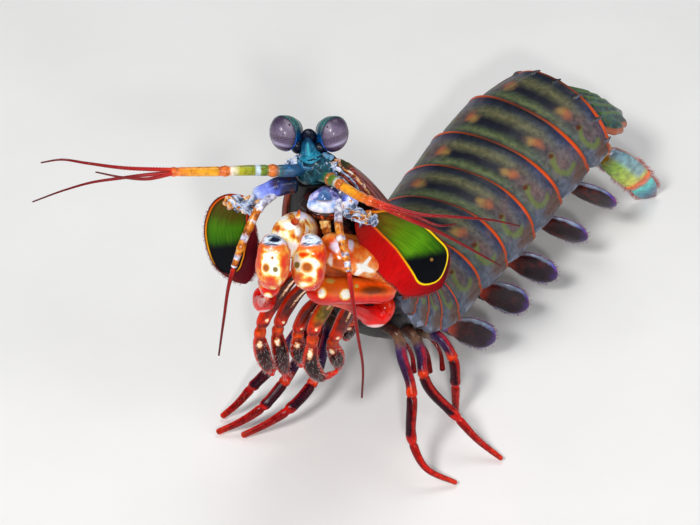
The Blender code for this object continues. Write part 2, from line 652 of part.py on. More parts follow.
def build_eye(side, parts, mats, group):
    centre = Vector(EYE_L if side == "left" else EYE_R)
    look = Vector(GAZE).normalized()
    if side == "right":
        look.x = -look.x
    bpy.ops.mesh.primitive_uv_sphere_add(segments=12, ring_count=8, radius=1.0)
    eye = bpy.context.active_object
    eye.name = "eye_" + side
    eye.data.name = eye.name
    tall = Vector(EYE_TALL)
    tall = (tall - look * tall.dot(look)).normalized()
    across = tall.cross(look)
    turn = Matrix((across, -look, tall)).transposed().to_4x4()
    size = Matrix.Diagonal((*[r * MM for r in CORNEA_RADII], 1.0))
    eye.data.transform(Matrix.Translation(centre * MM) @ turn @ size)
    eye.data.materials.clear()
    eye.data.materials.append(mats["eye"])
    eye.data.shade_smooth()
    for other in list(eye.users_collection):
        other.objects.unlink(eye)
    group.objects.link(eye)
    add(parts, eye)
    points = [centre - look * back for back, radius in STALK_CUP]
    cup = [radius for back, radius in STALK_CUP]
    narrow = [r * 0.88 for r in cup]
    stalk = limb("eyestalk_" + side, points, cup, narrow, tall, mats["head"], group, 10)
    root, back, radius = STALK_NECK
    neck = limb("neck", (root, centre - look * back), (radius,) * 2, (radius,) * 2,
                tall, mats["head"], group, 6)
    join(stalk.name, [stalk, neck])
    add(parts, stalk)


def build_mouth(parts, mats, group):
    """Shield-shaped lip with a short palp under it."""
    points, wide, thick = zip(*LIP)
    lip = limb("mouth", points, wide, thick, (1.0, 0.0, 0.0), mats["mouth"], group, 8)
    points, wide, thick = zip(*PALP)
    palp = limb("palp", points, wide, thick, (1.0, 0.0, 0.0), mats["mouth"], group, 6)
    join("mouth", [lip, palp])
    add(parts, lip)


def build_feelers(side, parts, mats, group):
    spec = ANTENNULES[side]
    radii = ANTENNULE_RADII
    stem = limb("antennule_" + side, spec["peduncle"], radii, radii, (0.0, 0.3, 1.0),
                mats["antennule"], group, 8)
    pieces = [stem]
    tip = Vector(spec["peduncle"][-1])
    inward = (Vector(spec["peduncle"][-2]) - tip).normalized()
    spread = (Vector((0.0, 0.1, 0.45)), Vector((0.0, -0.45, 0.05)), Vector((0.0, 0.25, -0.4)))
    for knots, offset in zip(spec["flagella"], spread):
        route = (tip + inward * 0.8 + offset,) + knots[1:]
        pieces.append(wire("flagellum", route, taper(FLAGELLUM_ROOT, FLAGELLUM_TIP, len(route)),
                           mats["antennule"], group))
    join(stem.name, pieces)
    add(parts, stem)

    spec = ANTENNAE[side]
    root = limb("antenna_" + side, spec["protopod"], (2.0, 2.0, 1.5), (1.9, 1.9, 1.4),
                (0.0, 0.3, 1.0), mats["antenna"], group, 10)
    stem = limb("stem", spec["peduncle"], (1.2, 1.15, 1.1, 1.0, 0.7), (1.2, 1.15, 1.1, 1.0, 0.7),
                (1.0, 0.0, 0.2), mats["antenna"], group, 8)
    route = spec["flagellum"]
    whip = wire("whip", route, taper(FLAGELLUM_ROOT + 0.05, FLAGELLUM_TIP, len(route)),
                mats["antenna"], group)
    join(root.name, [root, stem, whip])
    add(parts, root)

    points, wide, across = SCALES[side]
    add(parts, limb("antennal_scale_" + side, points, wide, BLADE_THICK, across,
                    mats["scale"], group, 12))


def build_claw(side, parts, mats, group):
    for article, rows in CLAWS[side].items():
        name = "raptorial_%s_%s" % (article, side)
        points, tall, wide = zip(*rows)
        direction = (1.0, 0.0, 0.0) if article == "carpus" else IMAGE_UP
        add(parts, limb(name, points, tall, wide, direction, mats["claw"], group, 10))


def build_maxillipeds(side, parts, mats, group):
    for number, points in zip((3, 4, 5), MAXILLIPEDS[side]):
        name = "maxilliped_%d_%s" % (number, side)
        thick = [0.8 * r for r in MAXILLIPED_WIDE]
        piece = limb(name, points, MAXILLIPED_WIDE, thick, (1.0, 0.2, 0.0), mats["leg"], group, 7)
        add(parts, piece)


def build_legs(side, parts, mats, group):
    sign = 1.0 if side == "left" else -1.0
    out, ahead, down = EXOPOD_REACH
    for number, points in zip((1, 2, 3), LEGS[side]):
        name = "walking_leg_%d_%s" % (number, side)
        leg = limb(name, points, LEG_THICK, LEG_THICK, (0.0, 0.3, 1.0), mats["leg"], group, 7)
        hip = Vector(points[1])
        tip = hip + Vector((sign * out, ahead, down))
        bow = Vector((sign * EXOPOD_BOW[0], EXOPOD_BOW[1], EXOPOD_BOW[2]))
        twig = wire("twig", (hip, hip.lerp(tip, 0.5) + bow, tip), EXOPOD_RADII, mats["leg"], group)
        join(name, [leg, twig])
        cut_at_floor(leg)
        add(parts, leg)


def blade(name, place, rows, unit, sign, side, mat, group, sides):
    """A limb given by rows measured from a station on one side of the body."""
    points = [at(place, sign * row[0] * unit, row[1], row[2]) for row in rows]
    return limb(name, points, [row[3] for row in rows], [row[4] for row in rows],
                side, mat, group, sides)


def build_pleopods(planes, parts, mats, group):
    front = planes["waist"]
    for number, (row, share) in enumerate(zip(ABDOMEN, PLEOPOD_PLACE), start=1):
        rear = planes[row[0]]
        place = blend(front, rear, share)
        back, left, up = place["axes"]
        unit = place["width"] / 2
        for side, sign in (("left", 1.0), ("right", -1.0)):
            name = "pleopod_%d_%s" % (number, side)
            mat = mats["pleopod"]
            stem = blade(name, place, PLEOPOD_STEM, unit, sign, back, mat, group, 6)
            slope = left * sign * 0.6 + up * 0.8
            outer = blade("outer", place, PLEOPOD_OUTER, unit, sign, slope, mat, group, 7)
            inner = blade("inner", place, PLEOPOD_INNER, unit, sign, left, mat, group, 7)
            join(name, [stem, outer, inner])
            add(parts, stem)
        front = rear


def build_telson(rear, mat, group):
    """Domed plate cut to its toothed outline."""
    axes = body_axes(TELSON_HEADING, TELSON_PITCH, TELSON_HEADING, ABDOMEN_LEAN)
    root = station(at(rear, 0.0, TELSON_RISE, 0.2), axes, 30.0, TELSON_DOME)
    half = 14.5
    steps = 4
    across = [2.0 * k / 8 - 1.0 for k in range(9)]
    rings = []
    for i in range(steps):
        share = i / (steps - 1)
        fall = 1.0 - 0.35 * share ** 2
        back = TELSON_LENGTH * 1.05 * share
        dome = [(side * half, (1.0 - side ** 2) * TELSON_DOME * fall) for side in across]
        ring = [at(root, side, up, back) for side, up in dome]
        ring += [at(root, side, up - TELSON_THICKNESS, back) for side, up in reversed(dome)]
        rings.append(ring)
    plate = loft("telson", rings, mat, group)
    outline = list(TELSON_OUTLINE) + [(-x, y) for x, y in TELSON_OUTLINE[-2::-1]]
    bounds = [[at(root, x, z, y) for x, y in outline] for z in (-6.0, 12.0)]
    cutter = loft("telson_cutter", bounds, mat, group)
    boolean(plate, cutter, "INTERSECT")
    bpy.data.objects.remove(cutter, do_unlink=True)
    keep_largest(plate)
    return plate


def build_tail(planes, parts, mats, group):
    rear = planes["abdomen_6"]
    mat = mats["tail"]
    add(parts, build_telson(rear, mat, group))
    back, left, up = rear["axes"]
    for side, sign in (("left", 1.0), ("right", -1.0)):
        tilt = left * sign * 0.9 + up * 0.35
        stem = blade("uropod_" + side, rear, UROPOD_STEM, 1.0, sign, tilt, mat, group, 7)
        outer = blade("outer", rear, UROPOD_OUTER, 1.0, sign, tilt, mat, group, 7)
        inner = blade("inner", rear, UROPOD_INNER, 1.0, sign, tilt, mat, group, 7)
        join(stem.name, [stem, outer, inner])
        cut_at_floor(stem)
        add(parts, stem)


def centre_on_floor(group):
    """Shift every solid so that the origin is under the middle of the whole box."""
    low, high = Vector((1e9,) * 3), Vector((-1e9,) * 3)
    for item in group.objects:
        for vert in item.data.vertices:
            low = Vector(map(min, low, vert.co))
            high = Vector(map(max, high, vert.co))
    middle = (low + high) / 2
    shift = Matrix.Translation((-middle.x, -middle.y, -low.z))
    for item in group.objects:
        item.data.transform(shift)


def main():
    clear_scene()
    group = collection("mantis_shrimp")
    mats = {name: material(name, colour, rough) for name, (colour, rough) in COLOURS.items()}
    planes, stations, parts = build_trunk(mats, group)
    parts["rostral_plate"] = build_rostral_plate(stations[-1], mats["shell"], group)
    build_head(parts, mats, group)
    build_mouth(parts, mats, group)
    for side in ("left", "right"):
        build_eye(side, parts, mats, group)
        build_claw(side, parts, mats, group)
        build_feelers(side, parts, mats, group)
        build_maxillipeds(side, parts, mats, group)
        build_legs(side, parts, mats, group)
    build_pleopods(planes, parts, mats, group)
    build_tail(planes, parts, mats, group)
    centre_on_floor(group)


main()
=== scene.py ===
"""Looks of a peacock mantis shrimp, as a still model on a pale studio floor.

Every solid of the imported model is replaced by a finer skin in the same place. Places are
body millimetres, in which the nose is at the height of 81; SHIFT moves them to the frame.
"""

import math

import bpy
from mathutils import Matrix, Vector
import numpy as np


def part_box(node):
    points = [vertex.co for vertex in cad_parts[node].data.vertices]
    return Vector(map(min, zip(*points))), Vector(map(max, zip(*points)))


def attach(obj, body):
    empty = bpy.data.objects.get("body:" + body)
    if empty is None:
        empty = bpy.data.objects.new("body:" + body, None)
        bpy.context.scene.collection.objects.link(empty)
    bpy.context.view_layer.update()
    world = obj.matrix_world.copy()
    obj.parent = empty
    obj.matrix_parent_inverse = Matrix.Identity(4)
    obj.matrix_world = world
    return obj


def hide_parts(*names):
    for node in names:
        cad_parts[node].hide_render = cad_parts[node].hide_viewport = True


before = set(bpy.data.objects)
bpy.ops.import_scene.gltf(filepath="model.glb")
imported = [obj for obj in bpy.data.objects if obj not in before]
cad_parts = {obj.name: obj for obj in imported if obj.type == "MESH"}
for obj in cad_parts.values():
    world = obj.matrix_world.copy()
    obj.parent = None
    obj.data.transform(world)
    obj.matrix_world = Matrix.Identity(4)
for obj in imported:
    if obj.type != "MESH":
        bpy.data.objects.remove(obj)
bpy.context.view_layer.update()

MM = 0.001
STAIN_DEPTH = 3.5
EYES = {"left": (4.7, -1.0, 80.7), "right": (-5.7, -1.0, 80.9)}
EYE_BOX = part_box("eye_left")
SHIFT = np.array((EYE_BOX[0] + EYE_BOX[1]) / 2) / MM - np.array(EYES["left"])

# The camera looks down on the animal from in front.
CAMERA_PLACE = (8.1, -348.6, 357.4)
CAMERA_TILT = 48.0
FOCAL_PIXELS = 2115.0
IMAGE_WIDTH = 700
SENSOR_WIDTH = 36.0


def rgb(red, green, blue):
    """Linear colour from one given as 0 to 255 on a screen."""
    shares = np.array((red, green, blue)) / 255
    linear = np.where(shares <= 0.04045, shares / 12.92, ((shares + 0.055) / 1.055) ** 2.4)
    return tuple(float(c) for c in linear)


def unit(vector):
    vector = np.asarray(vector, float)
    return vector / np.linalg.norm(vector, axis=-1, keepdims=True)


def arc_of(points):
    """Distance along a row of points."""
    steps = np.linalg.norm(np.diff(points, axis=0), axis=1)
    return np.concatenate(([0.0], np.cumsum(steps)))


def curve(knots, values, samples):
    """Smooth curve through the values given at the knots, read at the samples."""
    knots, values = np.asarray(knots, float), np.asarray(values, float)
    samples = np.asarray(samples, float)
    slopes = np.gradient(values, knots, axis=0)
    i = np.clip(np.searchsorted(knots, samples, side="right") - 1, 0, len(knots) - 2)
    h = knots[i + 1] - knots[i]
    t = (samples - knots[i]) / h
    if values.ndim > 1:
        h, t = h[..., None], t[..., None]
    start = (2 * t ** 3 - 3 * t ** 2 + 1) * values[i] + (t ** 3 - 2 * t ** 2 + t) * h * slopes[i]
    return start + (3 * t ** 2 - 2 * t ** 3) * values[i + 1] + (t ** 3 - t ** 2) * h * slopes[i + 1]


def bump_at(x, centre, width):
    """A smooth hill of height one."""
    return np.exp(-((x - centre) / width) ** 2)


def ease(x, low, high):
    """Zero below low, one above high, smooth between."""
    t = np.clip((x - low) / (high - low), 0.0, 1.0)
    return t * t * (3 - 2 * t)


def near(points, stains):
    """Field that is one half on each stain's rim. A stain is x, y, z, half width and half height."""
    field = np.zeros(points.shape[:-1])
    view_up = np.array(IMAGE_UP)
    view_in = np.cross(view_up, (1.0, 0.0, 0.0))
    for x, y, z, wide, tall in stains:
        away = points - np.array((x, y, z))
        distance = np.sqrt((away[..., 0] / wide) ** 2 + (away @ view_up / tall) ** 2
                           + (away @ view_in / STAIN_DEPTH) ** 2)
        field = np.maximum(field, 1 - distance / 2)
    return field


def strokes(points, lines):
    """Field that is one half on the rim of each stroke, as the camera sees it.

    A stroke is two ends and a half width. It narrows towards its second end.
    """
    view_in = np.cross(np.array(IMAGE_UP), (1.0, 0.0, 0.0))
    field = np.zeros(points.shape[:-1])
    for start, end, half in lines:
        start, run = np.array(start), np.array(end) - np.array(start)
        run = run - view_in * (run @ view_in)
        away = points - start
        deep = away @ view_in
        away = away - deep[..., None] * view_in
        share = np.clip(away @ run / (run @ run), 0, 1)
        distance = np.hypot(np.linalg.norm(away - share[..., None] * run, axis=-1), deep / 6)
        field = np.maximum(field, 1 - distance / (2 * half * (1 - 0.6 * share ** 0.5)))
    return field


def turned(vector, axis, degrees):
    """Vector turned about a unit axis."""
    a = math.radians(degrees)
    axis = unit(axis)
    return (vector * math.cos(a) + np.cross(axis, vector) * math.sin(a)
            + axis * (vector @ axis) * (1 - math.cos(a)))


class Shape:
    """The surface of one piece, gathered skin by skin, with values for its looks."""

    def __init__(self):
        self.points, self.faces, self.values, self.patches = [], [], [], []
        self.total = 0

    def add(self, points, faces, place, mark=None, tone=None, patch=None):
        """Faces are arrays of three or four columns. The values are one row per point."""
        points = np.asarray(points, float).reshape(-1, 3)
        blank = np.zeros_like(points)
        rows = [blank if v is None else np.asarray(v, float).reshape(-1, 3) for v in (place, mark, tone)]
        self.points.append(points)
        self.values.append(np.stack(rows, axis=1))
        self.faces += [np.asarray(f, int) + self.total for f in faces]
        self.patches.append(np.zeros((len(points), 2)) if patch is None else patch)
        self.total += len(points)

    def add_closed(self, grid, place, mark=None, tone=None):
        """Rings round a body, closed by a fan at each end, with its faces pointing out."""
        rings, count = grid.shape[:2]
        index = np.arange(rings * count).reshape(rings, count)
        following = np.roll(index, -1, axis=1)
        quads = np.stack((index[:-1], following[:-1], following[1:], index[1:]), -1).reshape(-1, 4)
        first, last = rings * count, rings * count + 1
        front = np.stack((np.full(count, first), following[0], index[0]), -1)
        rear = np.stack((np.full(count, last), index[-1], following[-1]), -1)
        points = np.concatenate((grid.reshape(-1, 3), [grid[0].mean(0), grid[-1].mean(0)]))
        faces = [quads, front, rear]
        if signed_volume(points, faces) < 0:
            faces = [f[:, ::-1] for f in faces]

        def with_ends(values):
            if values is None:
                return None
            values = np.broadcast_to(values, grid.shape)
            return np.concatenate((values.reshape(-1, 3), [values[0].mean(0), values[-1].mean(0)]))

        self.add(points, faces, with_ends(place), with_ends(mark), with_ends(tone))


def signed_volume(points, faces):
    total = 0.0
    for face in faces:
        corner = points[face]
        for k in range(1, face.shape[1] - 1):
            total += np.sum(corner[:, 0] * np.cross(corner[:, k], corner[:, k + 1]))
    return total


def piece(name, shape, look, slot, *nodes):
    """A shown mesh that rides on the body and stands for the named solids."""
    mesh = bpy.data.meshes.new(name)
    points = (np.concatenate(shape.points) + SHIFT) * MM
    corners = np.concatenate([f.ravel() for f in shape.faces])
    sizes = np.concatenate([np.full(len(f), f.shape[1]) for f in shape.faces])
    mesh.vertices.add(len(points))
    mesh.vertices.foreach_set("co", points.astype(np.float32).ravel())
    mesh.loops.add(len(corners))
    mesh.loops.foreach_set("vertex_index", corners.astype(np.int32))
    mesh.polygons.add(len(sizes))
    mesh.polygons.foreach_set("loop_start", (np.cumsum(sizes) - sizes).astype(np.int32))
    mesh.update(calc_edges=True)
    values = np.concatenate(shape.values).astype(np.float32)
    for k, key in enumerate(("place", "mark", "tone")):
        layer = mesh.attributes.new(key, "FLOAT_VECTOR", "POINT")
        layer.data.foreach_set("vector", values[:, k].ravel())
    patches = np.concatenate(shape.patches)
    if patches.any():
        uv = mesh.uv_layers.new(name="OFBake")
        uv.data.foreach_set("uv", patches[corners].astype(np.float32).ravel())
    mesh.validate()
    mesh.shade_smooth()
    mesh.materials.append(look.material)
    item = bpy.data.objects.new(name, mesh)
    bpy.context.scene.collection.objects.link(item)
    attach(item, "root")
    if nodes:
        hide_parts(*nodes)
    return item


def frames_along(centres, side):
    """Tangent, side and depth directions along a line, without twist."""
    tangents = unit(np.gradient(centres, axis=0))
    across = np.asarray(side, float)
    sides = []
    for tangent in tangents:
        across = across - tangent * (across @ tangent)
        across = across / np.linalg.norm(across)
        sides.append(across)
    sides = np.array(sides)
    return tangents, sides, np.cross(tangents, sides)


def limb(shape, knots, wide, thick, side, rings=50, sides=28, form=None, marks=None, blunt=(0.7, 0.7), tag=0.0):
    """A smooth round-ended limb. Its place value holds the knot number over the last one, and the turn.

    form gives a factor on the radius, and marks gives two rows of looks values, both from
    the knot number k, the turn's cosine c and sine s, and marks also from the points.
    """
    knots = np.array(knots, float)
    count = len(knots)
    wide = np.broadcast_to(wide, count).astype(float)
    thick = np.broadcast_to(thick, count).astype(float)
    arc = arc_of(knots)
    length = arc[-1]
    start = min(blunt[0] * max(wide[0], thick[0]), 0.3 * length)
    end = min(blunt[1] * max(wide[-1], thick[-1]), 0.3 * length)
    dome = 1 - np.cos(np.linspace(0.06, math.pi / 2, 7))
    span = np.linspace(start, length - end, rings)[1:-1]
    along = np.concatenate((start * dome, span, (length - end * dome)[::-1]))
    shrink = np.minimum(
        np.sqrt(1 - np.clip((start - along) / start, 0, 1) ** 2),
        np.sqrt(1 - np.clip((along - length + end) / end, 0, 1) ** 2),
    )
    centres = curve(arc, knots, along)
    w = np.maximum(curve(arc, wide, along), 0.05) * shrink
    t = np.maximum(curve(arc, thick, along), 0.05) * shrink
    k = np.interp(along, arc, np.arange(count))[:, None]
    angle = 2 * math.pi * np.arange(sides) / sides
    c, s = np.cos(angle)[None], np.sin(angle)[None]
    scale = 1.0 if form is None else form(k, c, s)
    _, across, depth = frames_along(centres, side)
    offset = across[:, None] * (w[:, None] * c * scale)[..., None]
    offset = offset + depth[:, None] * (t[:, None] * s * scale)[..., None]
    grid = centres[:, None] + offset
    ones = np.ones((len(along), sides))
    place = np.stack((k / (count - 1) * ones, c * ones, s * ones), -1)
    mark, tone = (None, None) if marks is None else marks(k * ones, c * ones, s * ones, grid)
    if tone is None:
        tone = np.full(grid.shape, tag)
    shape.add_closed(grid, place, mark, tone)
    return grid, centres, across, depth


def ball(shape, centre, radii, axes=None, rings=14, sides=20, place=None, tag=0.0):
    """A closed ellipsoid. Its place value is the direction from its middle."""
    axes = np.eye(3) if axes is None else np.asarray(axes, float)
    polar = np.linspace(0.02, math.pi - 0.02, rings)[:, None]
    turn = 2 * math.pi * np.arange(sides)[None] / sides
    local = np.stack((np.sin(polar) * np.cos(turn), np.sin(polar) * np.sin(turn),
                      np.cos(polar) * np.ones_like(turn)), -1)
    grid = np.asarray(centre) + (local * np.asarray(radii)) @ axes
    shape.add_closed(grid, local if place is None else place, None, np.broadcast_to(tag, grid.shape))


def hairs(shape, roots, ways, lengths, radius, rootmap, bend=0.2, seed=1, rings=4):
    """Solid three-sided hairs. Each one's bake patch lies at its root's place on the skin."""
    rng = np.random.default_rng(seed)
    roots, ways = np.asarray(roots, float), unit(ways)
    lengths = np.broadcast_to(lengths, len(roots)).astype(float)
    count = len(roots)
    helper = unit(np.cross(ways, rng.normal(size=(count, 3))))
    other = np.cross(ways, helper)
    steps = np.linspace(0, 1, rings)
    lean = helper * (bend * lengths)[:, None]
    middle = (roots[:, None] + ways[:, None] * (lengths[:, None] * steps)[..., None]
              + lean[:, None] * (steps ** 2)[None, :, None])
    thickness = radius * (1 - 0.85 * steps)
    angle = 2 * math.pi * np.arange(3) / 3
    round_trip = (helper[:, None] * np.cos(angle)[None, :, None] + other[:, None] * np.sin(angle)[None, :, None])
    grid = middle[:, :, None] + round_trip[:, None] * thickness[None, :, None, None]
    index = np.arange(count * rings * 3).reshape(count, rings, 3)
    following = np.roll(index, -1, axis=2)
    quads = np.stack((index[:, :-1], following[:, :-1], following[:, 1:], index[:, 1:]), -1).reshape(-1, 4)
    caps = np.concatenate((index[:, 0, ::-1], index[:, -1]))
    share = np.broadcast_to(steps[None, :, None], (count, rings, 3))
    place = np.stack((share, np.zeros_like(share), np.ones_like(share)), -1)
    size = 0.003
    patch = np.asarray(rootmap, float)[:, None, None] + size * np.stack(
        (share - 0.5, np.broadcast_to(np.arange(3) / 3 - 0.33, share.shape)), -1)
    shape.add(grid, [quads, caps], place, None, None, patch.reshape(-1, 2))


class Look:
    """A procedural material, built node by node on one shader."""

    def __init__(self, name, rough=0.4, coat=0.0, coat_rough=0.15, through=0.0, shine=0.5):
        self.material = bpy.data.materials.new(name)
        self.material.use_nodes = True
        self.tree = self.material.node_tree
        self.shader = self.tree.nodes["Principled BSDF"]
        self.shader.inputs["Roughness"].default_value = rough
        self.shader.inputs["Specular IOR Level"].default_value = shine
        self.shader.inputs["Coat Weight"].default_value = coat
        self.shader.inputs["Coat Roughness"].default_value = coat_rough
        self.shader.inputs["Subsurface Weight"].default_value = through
        self.shader.inputs["Subsurface Radius"].default_value = (1.0, 0.4, 0.25)
        self.shader.inputs["Subsurface Scale"].default_value = MM
        self.rough = rough
        object_place = self.node("ShaderNodeTexCoord").outputs["Object"]
        self.mm = self.node("ShaderNodeVectorMath", {0: object_place, 3: 1 / MM}, operation="SCALE").outputs[0]

    def node(self, kind, inputs=None, **settings):
        made = self.tree.nodes.new(kind)
        for key, value in settings.items():
            setattr(made, key, value)
        for key, value in (inputs or {}).items():
            self.feed(made.inputs[key], value)
        return made

    def feed(self, socket, value):
        if isinstance(value, bpy.types.NodeSocket):
            self.tree.links.new(value, socket)
        elif isinstance(value, tuple) and socket.type == "RGBA":
            socket.default_value = (*value[:3], 1.0)
        else:
            socket.default_value = value

    def channels(self, name):
        """The three numbers of a vertex value."""
        source = self.node("ShaderNodeAttribute", attribute_type="GEOMETRY", attribute_name=name)
        return self.node("ShaderNodeSeparateXYZ", {0: source.outputs["Vector"]}).outputs

    def calc(self, operation, a, b=0.0, c=0.0):
        return self.node("ShaderNodeMath", {0: a, 1: b, 2: c}, operation=operation).outputs[0]

    def noise(self, scale, detail=3.0, source=None, stretch=None):
        """Noise between 0 and 1 with that many grains to the millimetre."""
        source = self.mm if source is None else source
        if stretch:
            source = self.node("ShaderNodeVectorMath", {0: source, 1: stretch}, operation="MULTIPLY").outputs[0]
        return self.node("ShaderNodeTexNoise", {"Vector": source, "Scale": scale, "Detail": detail}).outputs[0]

    def stirred(self, value, amount, scale=0.6, detail=3.0):
        """A value made uneven by noise."""
        return self.calc("ADD", value, self.calc("MULTIPLY_ADD", self.noise(scale, detail), amount, -amount / 2))

    def cells(self, scale, feature="F1", source=None):
        source = self.mm if source is None else source
        return self.node("ShaderNodeTexVoronoi", {"Vector": source, "Scale": scale}, feature=feature).outputs[0]

    def ramp(self, value, stops, interpolation="LINEAR"):
        made = self.node("ShaderNodeValToRGB", {0: value})
        made.color_ramp.interpolation = interpolation
        bits = made.color_ramp.elements
        while len(bits) < len(stops):
            bits.new(0.5)
        for bit, (place, colour) in zip(bits, sorted(stops, key=lambda stop: stop[0])):
            bit.position = place
            bit.color = (*colour, 1.0)
        return made.outputs[0]

    def mix(self, amount, a, b, kind="MIX"):
        made = self.node("ShaderNodeMix", data_type="RGBA", blend_type=kind)
        self.feed(made.inputs[0], amount)
        self.feed(made.inputs[6], a)
        self.feed(made.inputs[7], b)
        return made.outputs[2]

    def step(self, value, low, high, bottom=0.0, top=1.0):
        """Smooth step from bottom to top as the value goes from low to high."""
        made = self.node("ShaderNodeMapRange", {0: value, 1: low, 2: high, 3: bottom, 4: top},
                         interpolation_type="SMOOTHSTEP")
        return made.outputs[0]

    def edge(self, field, soft=0.05, wobble=0.12, grain=0.9):
        """Mask inside a field's 0.5 line, with an uneven border."""
        if wobble:
            field = self.stirred(field, wobble, grain, 2.0)
        return self.step(field, 0.5 - soft, 0.5 + soft)

    def mottle(self, colour, amount=0.25, scale=0.8, detail=4.0):
        """Lighter and darker clouds over a colour."""
        cloud = self.step(self.noise(scale, detail), 0.3, 0.7, 1 - amount, 1 + amount)
        grey = self.node("ShaderNodeCombineXYZ", {0: cloud, 1: cloud, 2: cloud}).outputs[0]
        return self.mix(1.0, colour, grey, "MULTIPLY")

    def finish(self, colour, height=None, depth=0.12, strength=0.6, rough_spread=0.12):
        """Join the colour, an uneven roughness and a bump whose depth is in millimetres."""
        self.feed(self.shader.inputs["Base Color"], colour)
        uneven = self.step(self.noise(2.2, 3.0), 0.25, 0.75, self.rough - rough_spread / 2,
                           self.rough + rough_spread)
        self.feed(self.shader.inputs["Roughness"], uneven)
        if height is None:
            height = self.noise(2.5, 4.0)
        bump = self.node("ShaderNodeBump", {"Strength": strength, "Distance": depth * MM, "Height": height})
        self.feed(self.shader.inputs["Normal"], bump.outputs[0])
        return self


# Skeleton of the trunk: joint planes, as in the solid model.
WAIST = (19.0, 13.2, 18.9)
ABDOMEN_LEAN = 4.2
# Name, length, width, height, heading, pitch
ABDOMEN = (
    ("abdomen_1", 11.0, 33.8, 12.8, 24.7, -1.0),
    ("abdomen_2", 13.0, 36.0, 13.3, 28.5, -5.5),
    ("abdomen_3", 13.5, 37.6, 13.8, 31.5, 1.0),
    ("abdomen_4", 13.5, 38.2, 13.8, 34.5, 12.0),
    ("abdomen_5", 13.5, 38.0, 13.3, 41.0, 16.0),
    ("abdomen_6", 11.0, 35.0, 12.9, 49.0, 3.0),
)
# Name, length, width, height, heading, pitch, facing
THORAX = (
    ("thorax_8", 7.0, 29.0, 12.4, 28.2, -22.9, 24.5),
    ("thorax_7", 6.5, 27.0, 12.0, 32.3, -41.3, 24.0),
    ("thorax_6", 6.0, 25.0, 11.6, 38.4, -57.0, 23.0),
    ("thorax_5", 5.5, 23.5, 11.2, 50.0, -70.0, 22.0),
)
CARAPACE_LENGTH = 36.0
CARAPACE_HEADING = 62.4
CARAPACE_PITCH = -75.7
# Share of length, width, height, facing
CARAPACE = (
    (0.00, 25.5, 12.0, 22.0),
    (0.12, 28.0, 12.6, 21.0),
    (0.40, 28.5, 12.3, 18.0),
    (0.70, 23.5, 10.4, 14.0),
    (0.90, 18.0, 8.2, 10.0),
    (1.00, 14.5, 6.6, 8.0),
)
ARCH_POWER = 2.2
BELLY_DROP = 6.0
CHEST_SHARE = 0.72


class Station:
    """A plane across the trunk with its own axes: tailward, left and up."""

    def __init__(self, origin, axes, width, height):
        self.origin, self.axes = np.asarray(origin, float), axes
        self.width, self.height = width, height

    def at(self, left=0.0, up=0.0, back=0.0):
        b, l, u = self.axes
        return self.origin + b * back + l * left + u * up


def body_axes(heading, pitch, facing, lean=0.0):
    h, p, f = math.radians(heading), math.radians(pitch), math.radians(facing)
    back = np.array((math.sin(h) * math.cos(p), math.cos(h) * math.cos(p), math.sin(p)))
    side = np.array((math.cos(f), -math.sin(f), 0.0))
    left = unit(side - back * (side @ back))
    left = turned(left, back, -lean)
    return back, left, np.cross(left, back)


def blend(a, b, t):
    """A station part of the way from one to the next, or a little past it."""
    back = unit(a.axes[0] + (b.axes[0] - a.axes[0]) * min(max(t, 0), 1))
    left = a.axes[1] + (b.axes[1] - a.axes[1]) * min(max(t, 0), 1)
    left = unit(left - back * (left @ back))
    return Station(a.origin + (b.origin - a.origin) * t, (back, left, np.cross(left, back)),
                   a.width + (b.width - a.width) * t, a.height + (b.height - a.height) * t)


def trunk_planes():
    waist = Station(WAIST, body_axes(26.0, -8.0, 24.6, ABDOMEN_LEAN), 32.0, 12.6)
    planes = {"waist": waist}
    point = waist.origin
    for name, length, width, height, heading, pitch in ABDOMEN:
        axes = body_axes(heading, pitch, heading, ABDOMEN_LEAN)
        point = point + axes[0] * length
        planes[name] = Station(point, axes, width, height)
    point = waist.origin
    ahead = [row[4:7] for row in THORAX[1:]] + [(CARAPACE_HEADING, CARAPACE_PITCH, CARAPACE[0][3])]
    for (name, length, width, height, heading, pitch, facing), following in zip(THORAX, ahead):
        own = body_axes(heading, pitch, facing)
        point = point - own[0] * length
        other = Station(point, body_axes(*following), width, height)
        planes[name] = blend(Station(point, own, width, height), other, 0.5)
    return planes


def arch_section(half, height, skirt, drop, chest, lift):
    """Ring across the trunk: side and up of the back, its two flaps and the belly.

    lift is a function of the place w across the back, from -1 to 1, in millimetres.
    """
    w = np.linspace(-1, 1, 141)
    foot = 0.88
    angle = np.clip(w / foot, -1, 1) * math.pi / 2
    side = np.sign(angle) * np.abs(np.sin(angle)) ** (2 / ARCH_POWER) * half
    up = np.abs(np.cos(angle)) ** (2 / ARCH_POWER) * height
    below = np.clip((np.abs(w) - foot) / (1 - foot), 0, 1)
    side = side - np.sign(w) * 0.9 * below ** 2
    up = up - skirt * below
    swell = lift(w)
    side = side + swell * np.sin(angle)
    up = up + swell * np.cos(angle)
    flap = np.array((0.5, 0.8, 1.0))
    inner_side = half - 0.9 - 0.5 * np.sin(flap * math.pi / 2)
    inner_up = -skirt + np.array((-0.12, 0.1, 0.5))
    x = np.linspace(0.86, -0.86, 25)
    belly_side = x * half * chest
    belly_up = -drop * (1 - np.abs(x / 0.93) ** 3.2)
    sides = np.concatenate((side, inner_side, belly_side, -inner_side[::-1]))
    ups = np.concatenate((up, inner_up, belly_up, inner_up[::-1]))
    across = np.concatenate((w, np.full(3, 1.02), 1.3 + 0 * x, np.full(3, -1.02)))
    under = np.concatenate((0 * w, np.full(3, 0.4), 1 + 0 * x, np.full(3, 0.4)))
    return sides, ups, across, under


